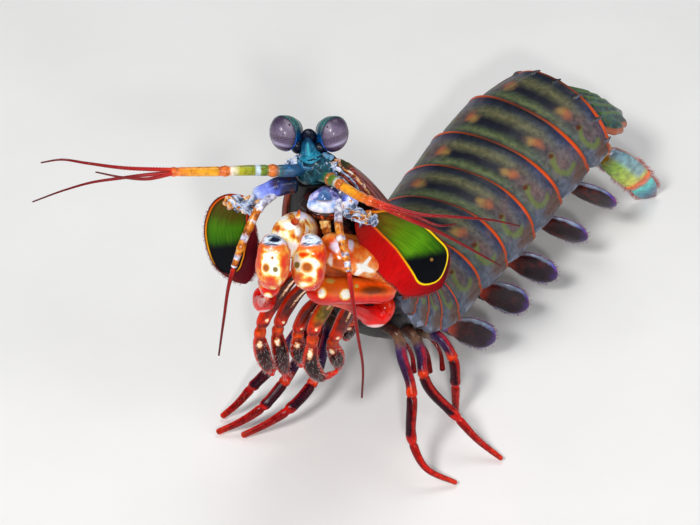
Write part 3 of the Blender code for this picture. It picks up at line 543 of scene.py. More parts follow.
def shell_values(s, across, under, serial):
    """Looks values of a tergite: the patches, the ringed side mark and the flap's patches."""
    w = np.abs(across)
    yellow = 1 - np.hypot((s - 0.42) / 0.09, (w - 0.245) / 0.042) / 2
    orange = 1 - np.hypot((s - 0.47) / 0.10, (w - 0.30) / 0.038) / 2
    brown = 1 - np.hypot((s - 0.42) / 0.07, (w - 0.455) / 0.022) / 2
    ring = np.hypot((s - 0.54) / 0.22, (w - 0.58) / 0.12)
    green = (1 - np.abs(ring - 1) / 0.5) * np.maximum(ease(s, 0.62, 0.40), ease(w, 0.62, 0.68))
    corner = 1 - np.hypot((s - 0.72) / 0.24, (w - 0.80) / 0.10) / 2
    place = np.stack((s, across, np.full_like(s, serial)), -1)
    return place, np.stack((yellow, orange, brown), -1), np.stack((green, corner, under), -1)


def tergite(name, front, rear, serial, chest, skirt_depth, look, keels=()):
    """One shell ring of the trunk, with a lip that overhangs the next ring."""
    length = np.linalg.norm(rear.origin - front.origin)
    rows = [(-0.04, 0.93), (0.0, 0.942), (0.04, 0.95)]
    rows += [(s, None) for s in np.linspace(0.08, 1.0, 44)]
    over = 0.55 / length
    rows += [(1 + over * 0.6, 0.996), (1 + over, 0.988), (1 + over, 0.978), (1 + over * 0.5, 0.97),
             (1.0, 0.962), (0.92, 0.95)]
    grid, values = [], []
    for s, scale in rows:
        if scale is None:
            scale = np.interp(s, (0.08, 0.30, 0.75, 1.0), (0.958, 0.985, 1.0, 1.0))
        plane = blend(front, rear, s)
        belly_scale = 1.0 if s <= 1 else 0.97

        def lift(w, s=s):
            height = 0.22 * bump_at(s, 1.0, 0.06) - 0.18 * bump_at(s, 0.13, 0.035)
            height = height - 0.30 * bump_at(np.abs(w), 0.80, 0.022) * ease(s, 0.1, 0.4)
            for middle, tall in keels:
                height = height + tall * bump_at(np.abs(w), middle, 0.02) * ease(s, 0.1, 0.7)
            return height

        skirt = skirt_depth * (0.35 + 0.65 * math.sin(math.pi * min(max(s, 0.0), 1.0) ** 1.4))
        side, up, across, under = arch_section(plane.width / 2 * scale, plane.height * scale, skirt,
                                               BELLY_DROP * scale * belly_scale, chest, lift)
        b, l, u = plane.axes
        grid.append(plane.origin + l * side[:, None] + u * up[:, None])
        values.append(shell_values(np.full_like(side, s), across, under, serial))
    place, mark, tone = (np.array([row[k] for row in values]) for k in range(3))
    shape = Shape()
    shape.add_closed(np.array(grid), place, mark, tone)
    if keels:
        rear_spines(shape, rear, keels)
    return piece("skin_" + name, shape, look, "shell", name)


def rear_spines(shape, rear, keels):
    """Short points where the keels of the last ring end."""
    for middle, _ in keels:
        for sign in (1.0, -1.0):
            angle = sign * middle / 0.88 * math.pi / 2
            side = math.copysign(abs(math.sin(angle)) ** (2 / ARCH_POWER), angle) * rear.width / 2
            up = math.cos(angle) ** (2 / ARCH_POWER) * rear.height
            start, mid, tip = (rear.at(side * f, up * f, back) for f, back in ((1, -2.4), (1.02, -0.6), (1.0, 1.2)))
            limb(shape, (start, mid, tip), (0.35, 0.55, 0.12), (0.35, 0.5, 0.12), rear.axes[1], 14, 10)


def shell_look():
    """Olive shell with dark cross bands, orange rear lines and side marks, and painted shade at the front of each ring
    and on the chest rings' belly.
    """
    look = Look("tergite_shell", rough=0.40, coat=0.08, coat_rough=0.2, shine=0.18)
    s, across, serial = look.channels("place")
    yellow, orange, brown = look.channels("mark")
    green, corner, under = look.channels("tone")
    line_s = s
    s = look.stirred(s, 0.12, 0.30)
    w = look.calc("ABSOLUTE", across)
    # The first stops, dark navy at the front of each ring, are painted shade under the lip of the ring in front; the
    # other dark bands are the shell's own.
    middle = look.ramp(s, (
        (0.0, rgb(22, 24, 34)), (0.07, rgb(44, 50, 44)), (0.17, rgb(92, 102, 66)), (0.26, rgb(60, 70, 52)),
        (0.34, rgb(24, 26, 38)), (0.45, rgb(16, 18, 32)), (0.54, rgb(62, 62, 48)), (0.66, rgb(100, 98, 66)),
        (0.75, rgb(76, 78, 60)), (0.86, rgb(28, 36, 50)), (0.95, rgb(22, 22, 32)),
    ))
    flank = look.ramp(s, (
        (0.0, rgb(40, 44, 60)), (0.16, rgb(80, 92, 86)), (0.34, rgb(88, 84, 84)), (0.5, rgb(94, 78, 80)),
        (0.66, rgb(92, 90, 92)), (0.82, rgb(70, 76, 98)), (0.95, rgb(36, 44, 76)),
    ))
    ground = look.mix(look.step(look.stirred(w, 0.1, 0.4), 0.14, 0.50), middle, flank)
    haze = look.calc("MULTIPLY", look.step(look.noise(0.22, 5.0), 0.42, 0.68, 0.0, 0.5), look.step(w, 0.2, 0.45))
    ground = look.mix(haze, ground, rgb(112, 84, 80))
    side = look.ramp(s, ((0.0, rgb(70, 80, 100)), (0.45, rgb(96, 100, 114)), (0.8, rgb(78, 78, 88)),
                         (1.0, rgb(92, 60, 44))))
    ground = look.mix(look.step(w, 0.60, 0.76), ground, side)
    ground = look.mottle(ground, 0.25, 0.7)
    ground = look.mix(look.calc("MULTIPLY", look.edge(corner, 0.3, 0.5, 0.5), 0.8), ground, rgb(96, 66, 52))
    streaks = look.noise(1.4, 5.0, stretch=(1.0, 1.0, 0.5))
    ground = look.mix(look.step(streaks, 0.50, 0.75, 0.0, 0.45), ground, rgb(26, 28, 34))
    pale = look.calc("MULTIPLY", look.step(look.noise(0.5, 3.0), 0.52, 0.62), look.step(w, 0.84, 0.92))
    ground = look.mix(look.calc("MULTIPLY", pale, 0.8), ground, rgb(136, 146, 170))
    ground = look.mix(look.calc("MULTIPLY", look.edge(green, 0.35, 1.1, 0.5), 0.6), ground, rgb(106, 126, 46))
    ground = look.mix(look.calc("MULTIPLY", look.edge(yellow, 0.45, 0.9, 0.5), 0.62), ground, rgb(178, 140, 70))
    ground = look.mix(look.calc("MULTIPLY", look.edge(orange, 0.5, 1.0, 0.5), 0.58), ground, rgb(182, 98, 58))
    ground = look.mix(look.calc("MULTIPLY", look.edge(brown, 0.24, 0.5, 0.9), 0.9), ground, rgb(84, 34, 14))
    line = look.ramp(w, ((0.0, rgb(92, 40, 22)), (0.2, rgb(130, 52, 20)), (0.36, rgb(186, 72, 20)),
                         (0.56, rgb(214, 74, 16)), (0.74, rgb(180, 66, 24)), (1.0, rgb(110, 60, 46))))
    start = look.step(w, 0.2, 0.5, 0.968, 0.94)
    ground = look.mix(look.step(look.calc("SUBTRACT", line_s, start), 0.0, 0.02), ground, line)
    # Painted shade: the chest rings' belly is near-black for the shade under the claws; the tail rings' belly keeps its
    # brown.
    belly = look.mottle(look.mix(look.step(serial, -0.9, -0.1), rgb(14, 8, 9), rgb(96, 74, 62)), 0.3, 0.5)
    ground = look.mix(look.step(under, 0.3, 0.8), ground, belly)
    pores = look.step(look.cells(2.4), 0.05, 0.35)
    height = look.calc("MULTIPLY_ADD", pores, 0.5, look.noise(1.0, 4.0))
    return look.finish(ground, height, 0.10, 0.5)


def build_trunk():
    planes = trunk_planes()
    look = shell_look()
    front = planes["waist"]
    last_keels = ((0.0, 0.2), (0.22, 0.25), (0.5, 0.3), (0.74, 0.4))
    for serial, row in enumerate(ABDOMEN):
        keels = last_keels if row[0] == "abdomen_6" else ()
        tergite(row[0], front, planes[row[0]], serial, 0.9, 2.6, look, keels)
        front = planes[row[0]]
    rear = planes["waist"]
    for serial, row in enumerate(THORAX):
        tergite(row[0], planes[row[0]], rear, -1 - serial, CHEST_SHARE, 1.6, look)
        rear = planes[row[0]]
    build_carapace(rear)
    return planes


def carapace_station(rear, share):
    rows = np.array(CARAPACE)
    width, height, facing = curve(rows[:, 0], rows[:, 1:], share)
    axes = body_axes(CARAPACE_HEADING, CARAPACE_PITCH, facing)
    place = Station(rear.origin - axes[0] * share * CARAPACE_LENGTH, axes, width, height)
    return blend(Station(place.origin, rear.axes, width, height), place, ease(share, 0.0, 0.12))


def carapace_look():
    look = Look("carapace_shell", rough=0.32, coat=0.1, coat_rough=0.12, shine=0.12)
    s, across, _ = look.channels("place")
    groove, inside, _ = look.channels("mark")
    w = look.calc("ABSOLUTE", across)
    olive = look.ramp(look.noise(0.22, 5.0), ((0.3, rgb(40, 46, 26)), (0.5, rgb(78, 74, 38)), (0.7, rgb(44, 58, 48))))
    flank = look.ramp(look.noise(0.5, 4.0), ((0.3, rgb(70, 14, 8)), (0.5, rgb(140, 42, 12)), (0.7, rgb(84, 20, 12))))
    ground = look.mix(look.step(w, 0.45, 0.66), olive, flank)
    stripes = look.calc("PINGPONG", look.calc("ADD", w, look.calc("MULTIPLY", look.noise(0.25, 2.0), 0.05)), 0.045)
    ground = look.mix(look.calc("MULTIPLY", look.step(stripes, 0.006, 0.0), look.step(w, 0.5, 0.62, 0.0, 0.75)),
                      ground, rgb(206, 196, 214))
    # Painted shade: the grooves are darkened towards near-black olive.
    ground = look.mix(look.step(groove, 0.2, 0.9, 0.0, 0.6), ground, rgb(24, 28, 24))
    ground = look.mix(look.step(s, 0.985, 1.0), ground, rgb(170, 84, 40))
    ground = look.mix(look.step(w, 0.93, 0.99), ground, rgb(150, 60, 36))
    # Painted shade: the underside and inside of the shield are near-black.
    ground = look.mix(look.step(inside, 0.3, 0.8), ground, look.mottle(rgb(22, 14, 16), 0.3, 0.5))
    return look.finish(ground, look.calc("MULTIPLY_ADD", look.step(look.cells(2.0), 0.05, 0.35), 0.4,
                                         look.noise(0.8, 4.0)), 0.12, 0.5)


def build_carapace(rear):
    """Shield over the head and the front of the chest, with its grooves."""
    look = carapace_look()
    shares = np.concatenate(([-0.012, -0.006], np.linspace(0, 0.99, 70), [0.996, 1.0]))
    scales = np.concatenate(([0.965, 0.985], np.ones(70), [0.985, 0.95]))
    grid, values, marks = [], [], []
    for share, scale in zip(shares, scales):
        plane = carapace_station(rear, max(share, 0.0))
        centre = plane.origin + plane.axes[0] * (max(-share, 0.0) * CARAPACE_LENGTH)

        def groove(w, share=share):
            gastric = bump_at(np.abs(w), 0.30 + 0.05 * share, 0.025) * ease(share, 0.08, 0.2)
            neck = bump_at(share, 0.42 - 0.10 * np.abs(w), 0.014) * ease(np.abs(w), 0.85, 0.3)
            rim = bump_at(np.abs(w), 0.90, 0.014)
            return gastric + 0.8 * neck + 0.6 * rim

        side, up, across, under = arch_section(plane.width / 2 * scale, plane.height * scale, 0.5, 2.0, 0.9,
                                               lambda w: -0.32 * groove(w))
        b, l, u = plane.axes
        grid.append(centre + l * side[:, None] + u * up[:, None])
        values.append(np.stack((np.full_like(side, 1 - share), across, under), -1))
        # The second value marks the underside, which the look paints near-black as shade.
        marks.append(np.stack((groove(across) * (under < 0.5), under, 0 * under), -1))
    shape = Shape()
    shape.add_closed(np.array(grid), np.array(values), np.array(marks))
    piece("skin_carapace", shape, look, "shell", "carapace")
    build_cephalon(rear)
    front = carapace_station(rear, 1.0)
    build_rostral_plate(front, look)


# Warm patch of the head's underside behind the left claw: x, y, z, half width and half height
CEPHALON_WARM = ((6.0, -10.0, 50.0, 4.4, 2.0),)


def build_cephalon(rear):
    """Soft underside of the head, mostly hidden behind the claws, painted near-black for the shade it lies in, with a
    warm patch.
    """
    look = Look("cephalon_skin_painted_shade", rough=0.4, coat=0.05, shine=0.1)
    warm = look.channels("mark")[0]
    # Painted shade: near-black maroon clouds.
    cloud = look.ramp(look.noise(0.35, 5.0), ((0.3, rgb(14, 8, 10)), (0.5, rgb(30, 12, 12)), (0.72, rgb(84, 26, 14))))
    cloud = look.mix(look.edge(warm, 0.2, 0.3, 0.5), cloud, look.mottle(rgb(196, 84, 18), 0.3, 0.6))
    look.finish(cloud, look.noise(1.1, 5.0), 0.25, 0.7)
    shape = Shape()
    shares = np.linspace(0, 1, 12)
    sizes = curve([row[0] for row in CARAPACE],
                  ((7.6, 3.2), (7.6, 3.2), (7.0, 2.9), (5.8, 2.4), (5.0, 1.9), (4.4, 1.6)), shares)
    middles = []
    for share, (wide, deep) in zip(shares, sizes):
        plane = carapace_station(rear, share)
        middles.append(plane.at(0, -2.3 - deep, 0))

    def folds(k, c, s):
        return 1 + 0.05 * np.sin(k * 9) * np.ones_like(c)

    def marks(k, c, s, grid):
        return np.stack((near(grid, CEPHALON_WARM), 0 * k, 0 * k), -1), None

    limb(shape, middles, sizes[:, 0], sizes[:, 1], rear.axes[1], 90, 48, folds, marks)
    piece("skin_cephalon", shape, look, "leg", "cephalon")


def build_rostral_plate(front, look):
    """Short pointed plate hinged under the front of the carapace."""
    shape = Shape()
    rows = ((-0.35, 2.9), (0.0, 3.0), (0.25, 3.0), (0.5, 2.5), (0.75, 1.6), (0.92, 0.7), (1.0, 0.25))
    middles = [front.at(0, 5.0 - 0.6 * share, -0.4 - 4.5 * share) for share, _ in rows]
    limb(shape, middles, [width for _, width in rows], 0.42, front.axes[1], 36, 30,
         lambda k, c, s: 1 + 0.35 * bump_at(c, 0, 0.25) * (s > 0))
    shape.values[0][:, 0, 1] *= 0.6
    piece("skin_rostral_plate", shape, look, "shell", "rostral_plate")


# Head
HEAD = (
    ((2.0, -4.8, 71.6), 4.6, 2.6), ((1.3, -5.2, 73.0), 4.7, 3.0), ((0.4, -4.8, 75.4), 3.9, 2.7),
    ((-0.4, -3.8, 77.6), 2.4, 2.2), ((-0.7, -2.9, 79.6), 1.4, 1.4), ((-0.7, -2.3, 81.0), 0.5, 0.5),
)
CORNEA_RADII = (3.15, 3.0, 3.8)
GAZE = (0.51, -0.775, 0.356)
EYE_TALL = (0.0, 0.67, 0.74)
STALK_CUP = ((4.7, 1.5), (3.7, 2.5), (2.3, 3.3), (0.1, 3.75))
STALK_NECK = ((-0.7, -1.6, 78.2), 3.2, 1.25)
# Middle band of the facets: height at the middle and slope, as shares of the cornea
FACET_BAND = {"left": (0.02, 0.42), "right": (-0.075, -0.31)}
# Dark spot that looks at the camera, as a direction from the cornea's middle
PUPIL = {"left": (-0.81, 0.39, 0.44), "right": (0.765, 0.39, 0.51)}


def eye_axes(side):
    """Across, gaze and tall directions of an eye."""
    look = unit(GAZE)
    if side == "right":
        look = look * np.array((-1, 1, 1))
    tall = np.array(EYE_TALL)
    tall = unit(tall - look * (tall @ look))
    return np.cross(tall, look), look, tall


def cornea_look():
    look = Look("cornea", rough=0.26, coat=0.25, coat_rough=0.12, shine=0.4)
    x, y, z = look.channels("place")
    band, pupil, rim = look.channels("mark")
    base = look.ramp(look.step(z, -0.95, 0.95), (
        (0.0, rgb(60, 42, 68)), (0.18, rgb(94, 78, 106)), (0.5, rgb(108, 94, 116)), (0.85, rgb(98, 84, 110)),
        (1.0, rgb(56, 40, 66))))
    base = look.mottle(base, 0.10, 0.8)
    stripe = look.calc("PINGPONG", look.calc("ADD", band, 0.5), 0.05)
    lines = look.calc("MULTIPLY", look.step(stripe, 0.030, 0.008), look.step(look.calc("ABSOLUTE", band), 0.13, 0.09))
    base = look.mix(look.calc("MULTIPLY", lines, 0.95), base, rgb(26, 12, 36))
    fine = look.calc("PINGPONG", z, 0.02)
    base = look.mix(look.step(fine, 0.004, 0.0, 0.0, 0.12), base, rgb(70, 52, 82))
    low = look.calc("ABSOLUTE", look.calc("ADD", look.stirred(band, 0.05, 0.5), 0.40))
    glow = look.calc("MULTIPLY", look.step(low, 0.20, 0.0), look.step(look.calc("ABSOLUTE", x), 0.95, 0.2))
    base = look.mix(look.calc("MULTIPLY", glow, 0.65), base, rgb(196, 186, 222))
    halo = look.step(pupil, 0.46, 0.08)
    base = look.mix(look.calc("MULTIPLY", halo, 0.5), base, rgb(170, 158, 174))
    base = look.mix(look.step(pupil, 0.085, 0.055), base, rgb(6, 4, 8))
    base = look.mix(look.step(rim, 0.36, 0.05), base, rgb(34, 18, 48))
    facets = look.cells(7.0, "DISTANCE_TO_EDGE")
    return look.finish(base, look.step(facets, 0.0, 0.25), 0.025, 0.5, 0.05)


def cup_look():
    look = Look("eyestalk_shell", rough=0.25, coat=0.35, shine=0.2)
    k, c, s = look.channels("place")
    top = look.step(c, -0.9, 0.9)
    colour = look.ramp(top, ((0.0, rgb(16, 100, 214)), (0.3, rgb(4, 76, 132)), (0.55, rgb(2, 60, 84)),
                             (0.8, rgb(2, 86, 96)), (1.0, rgb(6, 112, 106))))
    colour = look.mottle(colour, 0.3, 1.2)
    ribs = look.calc("PINGPONG", look.calc("MULTIPLY", k, 22.0), 0.5)
    colour = look.mix(look.step(ribs, 0.36, 0.5, 0.0, 0.45), colour, rgb(4, 26, 30))
    colour = look.mix(look.step(k, 0.93, 0.99), colour, rgb(44, 158, 232))
    specks = look.step(look.cells(1.7), 0.16, 0.06)
    colour = look.mix(look.calc("MULTIPLY", specks, 0.5), colour, rgb(100, 210, 214))
    return look.finish(colour, look.calc("ADD", look.noise(2.0, 3.0), look.calc("MULTIPLY", ribs, 0.4)), 0.12, 0.6)


def build_eyes():
    cornea, cup = cornea_look(), cup_look()
    for side in ("left", "right"):
        across, look, tall = eye_axes(side)
        centre = np.array(EYES[side])
        polar = np.linspace(0.012, math.pi - 0.012, 72)[:, None]
        turn = 2 * math.pi * np.arange(96)[None] / 96
        local = np.stack((np.sin(polar) * np.cos(turn), np.cos(polar) * np.ones_like(turn),
                          np.sin(polar) * np.sin(turn)), -1)
        height, slope = FACET_BAND[side]
        band = local[..., 2] - height - slope * local[..., 0]
        pupil = np.linalg.norm(local - unit(PUPIL[side]), axis=-1)
        waist = 1 - 0.018 * bump_at(band, 0.0, 0.07) * (local[..., 1] > 0)
        mark = np.stack((band, pupil, local[..., 1]), -1)
        radii = np.array(CORNEA_RADII)
        grid = centre + (local * radii * waist[..., None]) @ np.array((across, look, tall))
        shape = Shape()
        shape.add_closed(grid, local, mark)
        piece("cornea_" + side, shape, cornea, "eye", "eye_" + side)

        shape = Shape()
        rows = [(4.9, 0.7), *STALK_CUP, (-0.28, 3.86), (-0.42, 3.80)]
        points = [centre - look * back for back, _ in rows]
        tall_radii = np.array([radius for _, radius in rows])
        limb(shape, points, tall_radii, tall_radii * 0.86, tall, 60, 48, blunt=(0.3, 0.02))
        root, back, radius = STALK_NECK
        joint = centre - look * back
        limb(shape, (root, (np.array(root) + joint) / 2, joint), (radius, radius * 0.85, radius), radius * 0.9,
             tall, 24, 24, lambda k, c, s: 1 + 0.10 * np.sin(k * 10))
        piece("eyestalk_skin_" + side, shape, cup, "head", "eyestalk_" + side)


def head_look():
    look = Look("nose_shell", rough=0.38, coat=0.15, coat_rough=0.15, shine=0.2)
    k, c, s = look.channels("place")
    pyramid, tag, ridge = look.channels("tone")
    soft = look.stirred(k, 0.16)
    colour = look.ramp(soft, ((0.0, rgb(6, 30, 40)), (0.3, rgb(12, 62, 72)), (0.46, rgb(12, 54, 70)),
                              (0.56, rgb(5, 16, 40)), (1.0, rgb(4, 10, 30))))
    colour = look.mottle(colour, 0.6, 0.8)
    vein = look.calc("ABSOLUTE", look.calc("SUBTRACT", look.noise(0.7, 5.0, stretch=(1.0, 1.0, 0.5)), 0.5))
    vein = look.calc("MULTIPLY", look.step(vein, 0.016, 0.002), look.step(k, 0.52, 0.42, 0.0, 0.45))
    colour = look.mix(vein, colour, rgb(120, 184, 204))
    bright = look.ramp(soft, ((0.55, rgb(24, 128, 156)), (0.72, rgb(12, 92, 124)), (0.85, rgb(10, 66, 100)),
                              (1.0, rgb(4, 22, 52))))
    colour = look.mix(look.edge(pyramid, 0.24, 0.3), colour, look.mottle(bright, 0.4, 1.2))
    colour = look.mix(look.calc("MULTIPLY", look.edge(ridge, 0.45, 0.3), 0.6), colour, rgb(70, 186, 200))
    specks = look.step(look.cells(1.5), 0.22, 0.08)
    colour = look.mix(look.calc("MULTIPLY", specks, 0.4), colour, rgb(60, 150, 190))
    colour = look.mix(look.step(tag, 0.4, 0.6), colour, look.mottle(rgb(34, 132, 162), 0.5, 1.0))
    # Painted shade: the balls tagged two are near-black navy.
    colour = look.mix(look.step(tag, 1.4, 1.6), colour, look.mottle(rgb(3, 9, 32), 0.5, 1.5))
    return look.finish(colour, look.noise(1.3, 4.0), 0.2, 0.6)


def frill_look():
    """Clear skin round the base of the feelers: dark slate to white clouds, painted white highlights along the creases,
    amber clouds.
    """
    look = Look("frill_skin", rough=0.2, coat=0.3, coat_rough=0.08, through=0.1, shine=0.35)
    tag, blue, _ = look.channels("tone")
    cloud = look.noise(0.55, 4.0)
    pale = look.ramp(cloud, ((0.30, rgb(30, 40, 62)), (0.44, rgb(84, 104, 140)), (0.53, rgb(160, 180, 214)),
                             (0.62, rgb(226, 232, 250)), (0.72, rgb(184, 126, 76))))
    amber = look.ramp(cloud, ((0.30, rgb(70, 30, 12)), (0.44, rgb(160, 84, 20)), (0.55, rgb(224, 156, 70)),
                              (0.66, rgb(248, 232, 210))))
    deep = look.ramp(cloud, ((0.3, rgb(8, 34, 56)), (0.5, rgb(30, 96, 136)), (0.66, rgb(84, 144, 178))))
    colour = look.mix(look.step(look.stirred(tag, 0.9, 0.4), 0.3, 0.7), pale, amber)
    colour = look.mix(look.step(blue, 0.4, 0.6), colour, deep)
    crease_and_highlight = look.step(look.cells(0.75, "DISTANCE_TO_EDGE"), 0.06, 0.0)
    # Painted highlights: white along the creases; the same mask also gives the creases' bump.
    colour = look.mix(look.calc("MULTIPLY", crease_and_highlight, look.step(blue, 0.4, 0.6, 0.75, 0.3)), colour, rgb(240, 246, 255))
    return look.finish(colour, look.calc("MULTIPLY_ADD", crease_and_highlight, 0.5, look.noise(0.8, 3.0)), 0.22, 0.6)


def frill(shape, knots, way, width, thick=0.14, waves=5, height=0.35, tag=(0.0, 0.0, 0.0), rings=60):
    """A pleated ribbon of skin. It runs through the knots and stands out along way."""
    knots = np.array(knots, float)
    arc = arc_of(knots)
    t = np.linspace(0, arc[-1], rings)
    centres = curve(arc, knots, t)
    _, _, depth = frames_along(centres, way)
    share = t / arc[-1]
    wave = np.sin(share * waves * 2 * math.pi + 2.1 * np.sin(share * 7.3)) * (0.6 + 0.4 * np.sin(share * 11))
    centres = centres + depth * (height * wave)[:, None]
    taper = np.minimum(1, 4 * np.minimum(share, 1 - share)) ** 0.5 * 0.9 + 0.1

    def tags(k, c, s, grid):
        return None, np.broadcast_to(tag, grid.shape)

    limb(shape, centres, width * taper, thick, way, rings, 14, marks=tags, blunt=(0.3, 0.3))


def lobes(shape, places, seed, spread=0.5, size=0.8):
    """Heaped soft flaps. Each place is x, y, z and a colour tag: 0 clear, 1 amber, 2 blue."""
    rng = np.random.default_rng(seed)
    polar = np.linspace(0.03, math.pi - 0.03, 30)[:, None]
    turn = 2 * math.pi * np.arange(40)[None] / 40
    local = np.stack((np.sin(polar) * np.cos(turn), np.sin(polar) * np.sin(turn),
                      np.cos(polar) * np.ones_like(turn)), -1)
    for x, y, z, kind in places:
        for _ in range(2):
            axes = np.linalg.qr(rng.normal(size=(3, 3)))[0]
            middle = np.array((x, y, z)) + rng.normal(size=3) * spread * 0.4
            radii = size * np.array((0.22 + 0.1 * rng.random(), 0.7 + 0.4 * rng.random(), 0.9 + 0.5 * rng.random()))
            phase = rng.uniform(0, 6, 3)
            bent = local * radii
            fold = np.sin(bent[..., 1] * 2.2 / size + phase[0]) + np.sin(bent[..., 2] * 2.6 / size + phase[1])
            bent = bent + np.array((0.16 * size, 0, 0)) * fold[..., None]
            pleat = 1 + 0.07 * np.sin(local[..., 1] * 5 + phase[1]) + 0.07 * np.sin(local[..., 2] * 6 + phase[2])
            grid = middle + (bent * pleat[..., None]) @ axes
            tag = np.broadcast_to((float(kind == 1), float(kind == 2), 0.0), grid.shape)
            shape.add_closed(grid, local, None, tag)


def build_head():
    look, skin = head_look(), frill_look()
    shape = Shape()
    points, wide, thick = zip(*HEAD)

    # The head's front is on the side of negative sines.
    def form(k, c, s):
        front = s < 0
        keel = bump_at(c, 0.0, 0.26) * front * ease(k, 2.7, 3.3)
        pits = bump_at(np.abs(c), 0.80, 0.2) * front * bump_at(k, 3.3, 0.6)
        collar = bump_at(k, 2.8, 0.12) * front
        return 1 + 0.20 * keel - 0.28 * pits + 0.08 * collar

    def marks(k, c, s, grid):
        front = s < 0
        middle = grid.mean(axis=1, keepdims=True)[..., 0]
        half = 0.5 + 0.85 * np.clip(5 - k, 0, 3)
        pyramid = (1 - np.abs(grid[..., 0] - middle) / half / 2) * front * ease(k, 2.62, 2.82)
        ridge = (1 - np.abs(grid[..., 0] - middle) / 0.26 / 2) * front * ease(k, 2.95, 3.2) * ease(k, 4.7, 4.0)
        return None, np.stack((pyramid, 0 * k, ridge), -1)

    limb(shape, points, wide, thick, (1.0, 0.0, 0.0), 90, 72, form, marks)
    limb(shape, NOSE_RIM, (0.1, 0.26, 0.34, 0.26, 0.1), 0.26, (0.0, 0.5, 1.0), 60, 16,
         lambda k, c, s: 1 + 0.12 * np.sin(k * 9 + c),
         lambda k, c, s, grid: (None, np.broadcast_to((0.0, 1.0, 0.0), grid.shape)))
    for x, y, z, radius in NOSE_KNOBS:
        ball(shape, (x, y, z), (radius * 1.3, radius, radius * 0.8), tag=(0.0, 1.0, 0.0))
    # Dark balls painted near-black for the shade in the hollows beside and above the nose.
    for centre, radii in NOSE_SHADE_BALLS:
        ball(shape, centre, radii, rings=20, sides=28, tag=(0.0, 2.0, 0.0))
    piece("nose_skin", shape, look, "head", "head")

    shape = Shape()
    clear, amber, blue = (0.0, 0.0, 0.0), (1.0, 0.0, 0.0), (0.0, 1.0, 0.0)
    frill(shape, NOSE_FRILL, (0, -0.6, 1), 0.55, 0.3, waves=3, height=0.1, tag=blue)
    lobes(shape, NECK_LOBES, 3, 0.4, 0.8)
    for knots, tag in CHEEK_FOLDS:
        frill(shape, knots, (0.4, -0.6, 0.8), 0.42, 0.2, 4, 0.22, tag=amber if tag else clear)
    piece("nose_frills", shape, skin, "head")
    return skin
NOSE_RIM = ((-2.5, -5.0, 77.7), (-1.7, -6.0, 77.6), (-0.5, -6.65, 77.6), (0.8, -6.4, 77.7), (1.9, -5.5, 78.0))
NOSE_FRILL = ((-3.0, -5.8, 76.9), (-1.8, -6.7, 76.5), (-0.6, -7.2, 76.4), (0.7, -6.9, 76.4), (2.2, -5.9, 76.8))
NOSE_KNOBS = ((-1.45, -5.1, 78.9, 0.26), (0.25, -5.1, 78.8, 0.26), (-0.65, -6.0, 78.2, 0.32),
              (-2.0, -5.9, 77.9, 0.3), (0.85, -5.9, 78.1, 0.3))
# Dark balls that stand for the shade in the hollows beside and above the nose: middle and radii.
NOSE_SHADE_BALLS = (((-2.9, -2.6, 78.4), (1.4, 1.2, 1.5)), ((1.9, -2.7, 78.2), (1.7, 1.2, 1.4)),
                ((-0.55, -1.3, 79.9), (1.75, 1.1, 2.3)))
NECK_LOBES = (
    (-3.2, -4.8, 77.5, 0), (-3.9, -5.6, 77.0, 0), (-3.4, -6.4, 76.6, 0), (-4.6, -6.9, 77.4, 0),
    (-2.5, -6.0, 76.8, 2), (2.8, -4.6, 77.5, 2), (3.9, -4.6, 77.4, 2), (3.2, -5.6, 76.6, 0),
    (4.4, -5.6, 76.4, 0), (5.4, -5.2, 76.0, 1), (4.2, -6.4, 75.6, 0), (5.4, -6.0, 75.2, 0),
)
CHEEK_FOLDS = (
    (((4.4, -5.6, 76.0), (6.4, -5.8, 74.6), (8.4, -6.0, 72.2), (10.2, -6.2, 69.4), (12.0, -6.6, 66.0)), 0),
    (((4.0, -6.4, 75.2), (6.0, -6.6, 73.6), (8.0, -6.8, 71.2), (9.8, -7.0, 68.4)), 0),
    (((5.0, -5.0, 75.8), (7.6, -5.2, 74.2), (10.0, -5.4, 71.6), (12.4, -5.8, 68.0)), 1),
)


LIP = (
    ((2.8, -9.2, 73.2), 1.6, 0.8), ((2.8, -10.2, 71.4), 3.2, 1.7), ((2.8, -10.8, 68.8), 3.4, 1.9),
    ((2.7, -10.8, 66.8), 2.6, 1.5), ((2.6, -10.4, 65.6), 1.2, 0.8),
)
PALP = (((2.7, -10.6, 66.4), 1.2, 1.0), ((3.0, -12.0, 64.4), 1.1, 0.9), ((3.4, -12.8, 62.4), 0.7, 0.6))


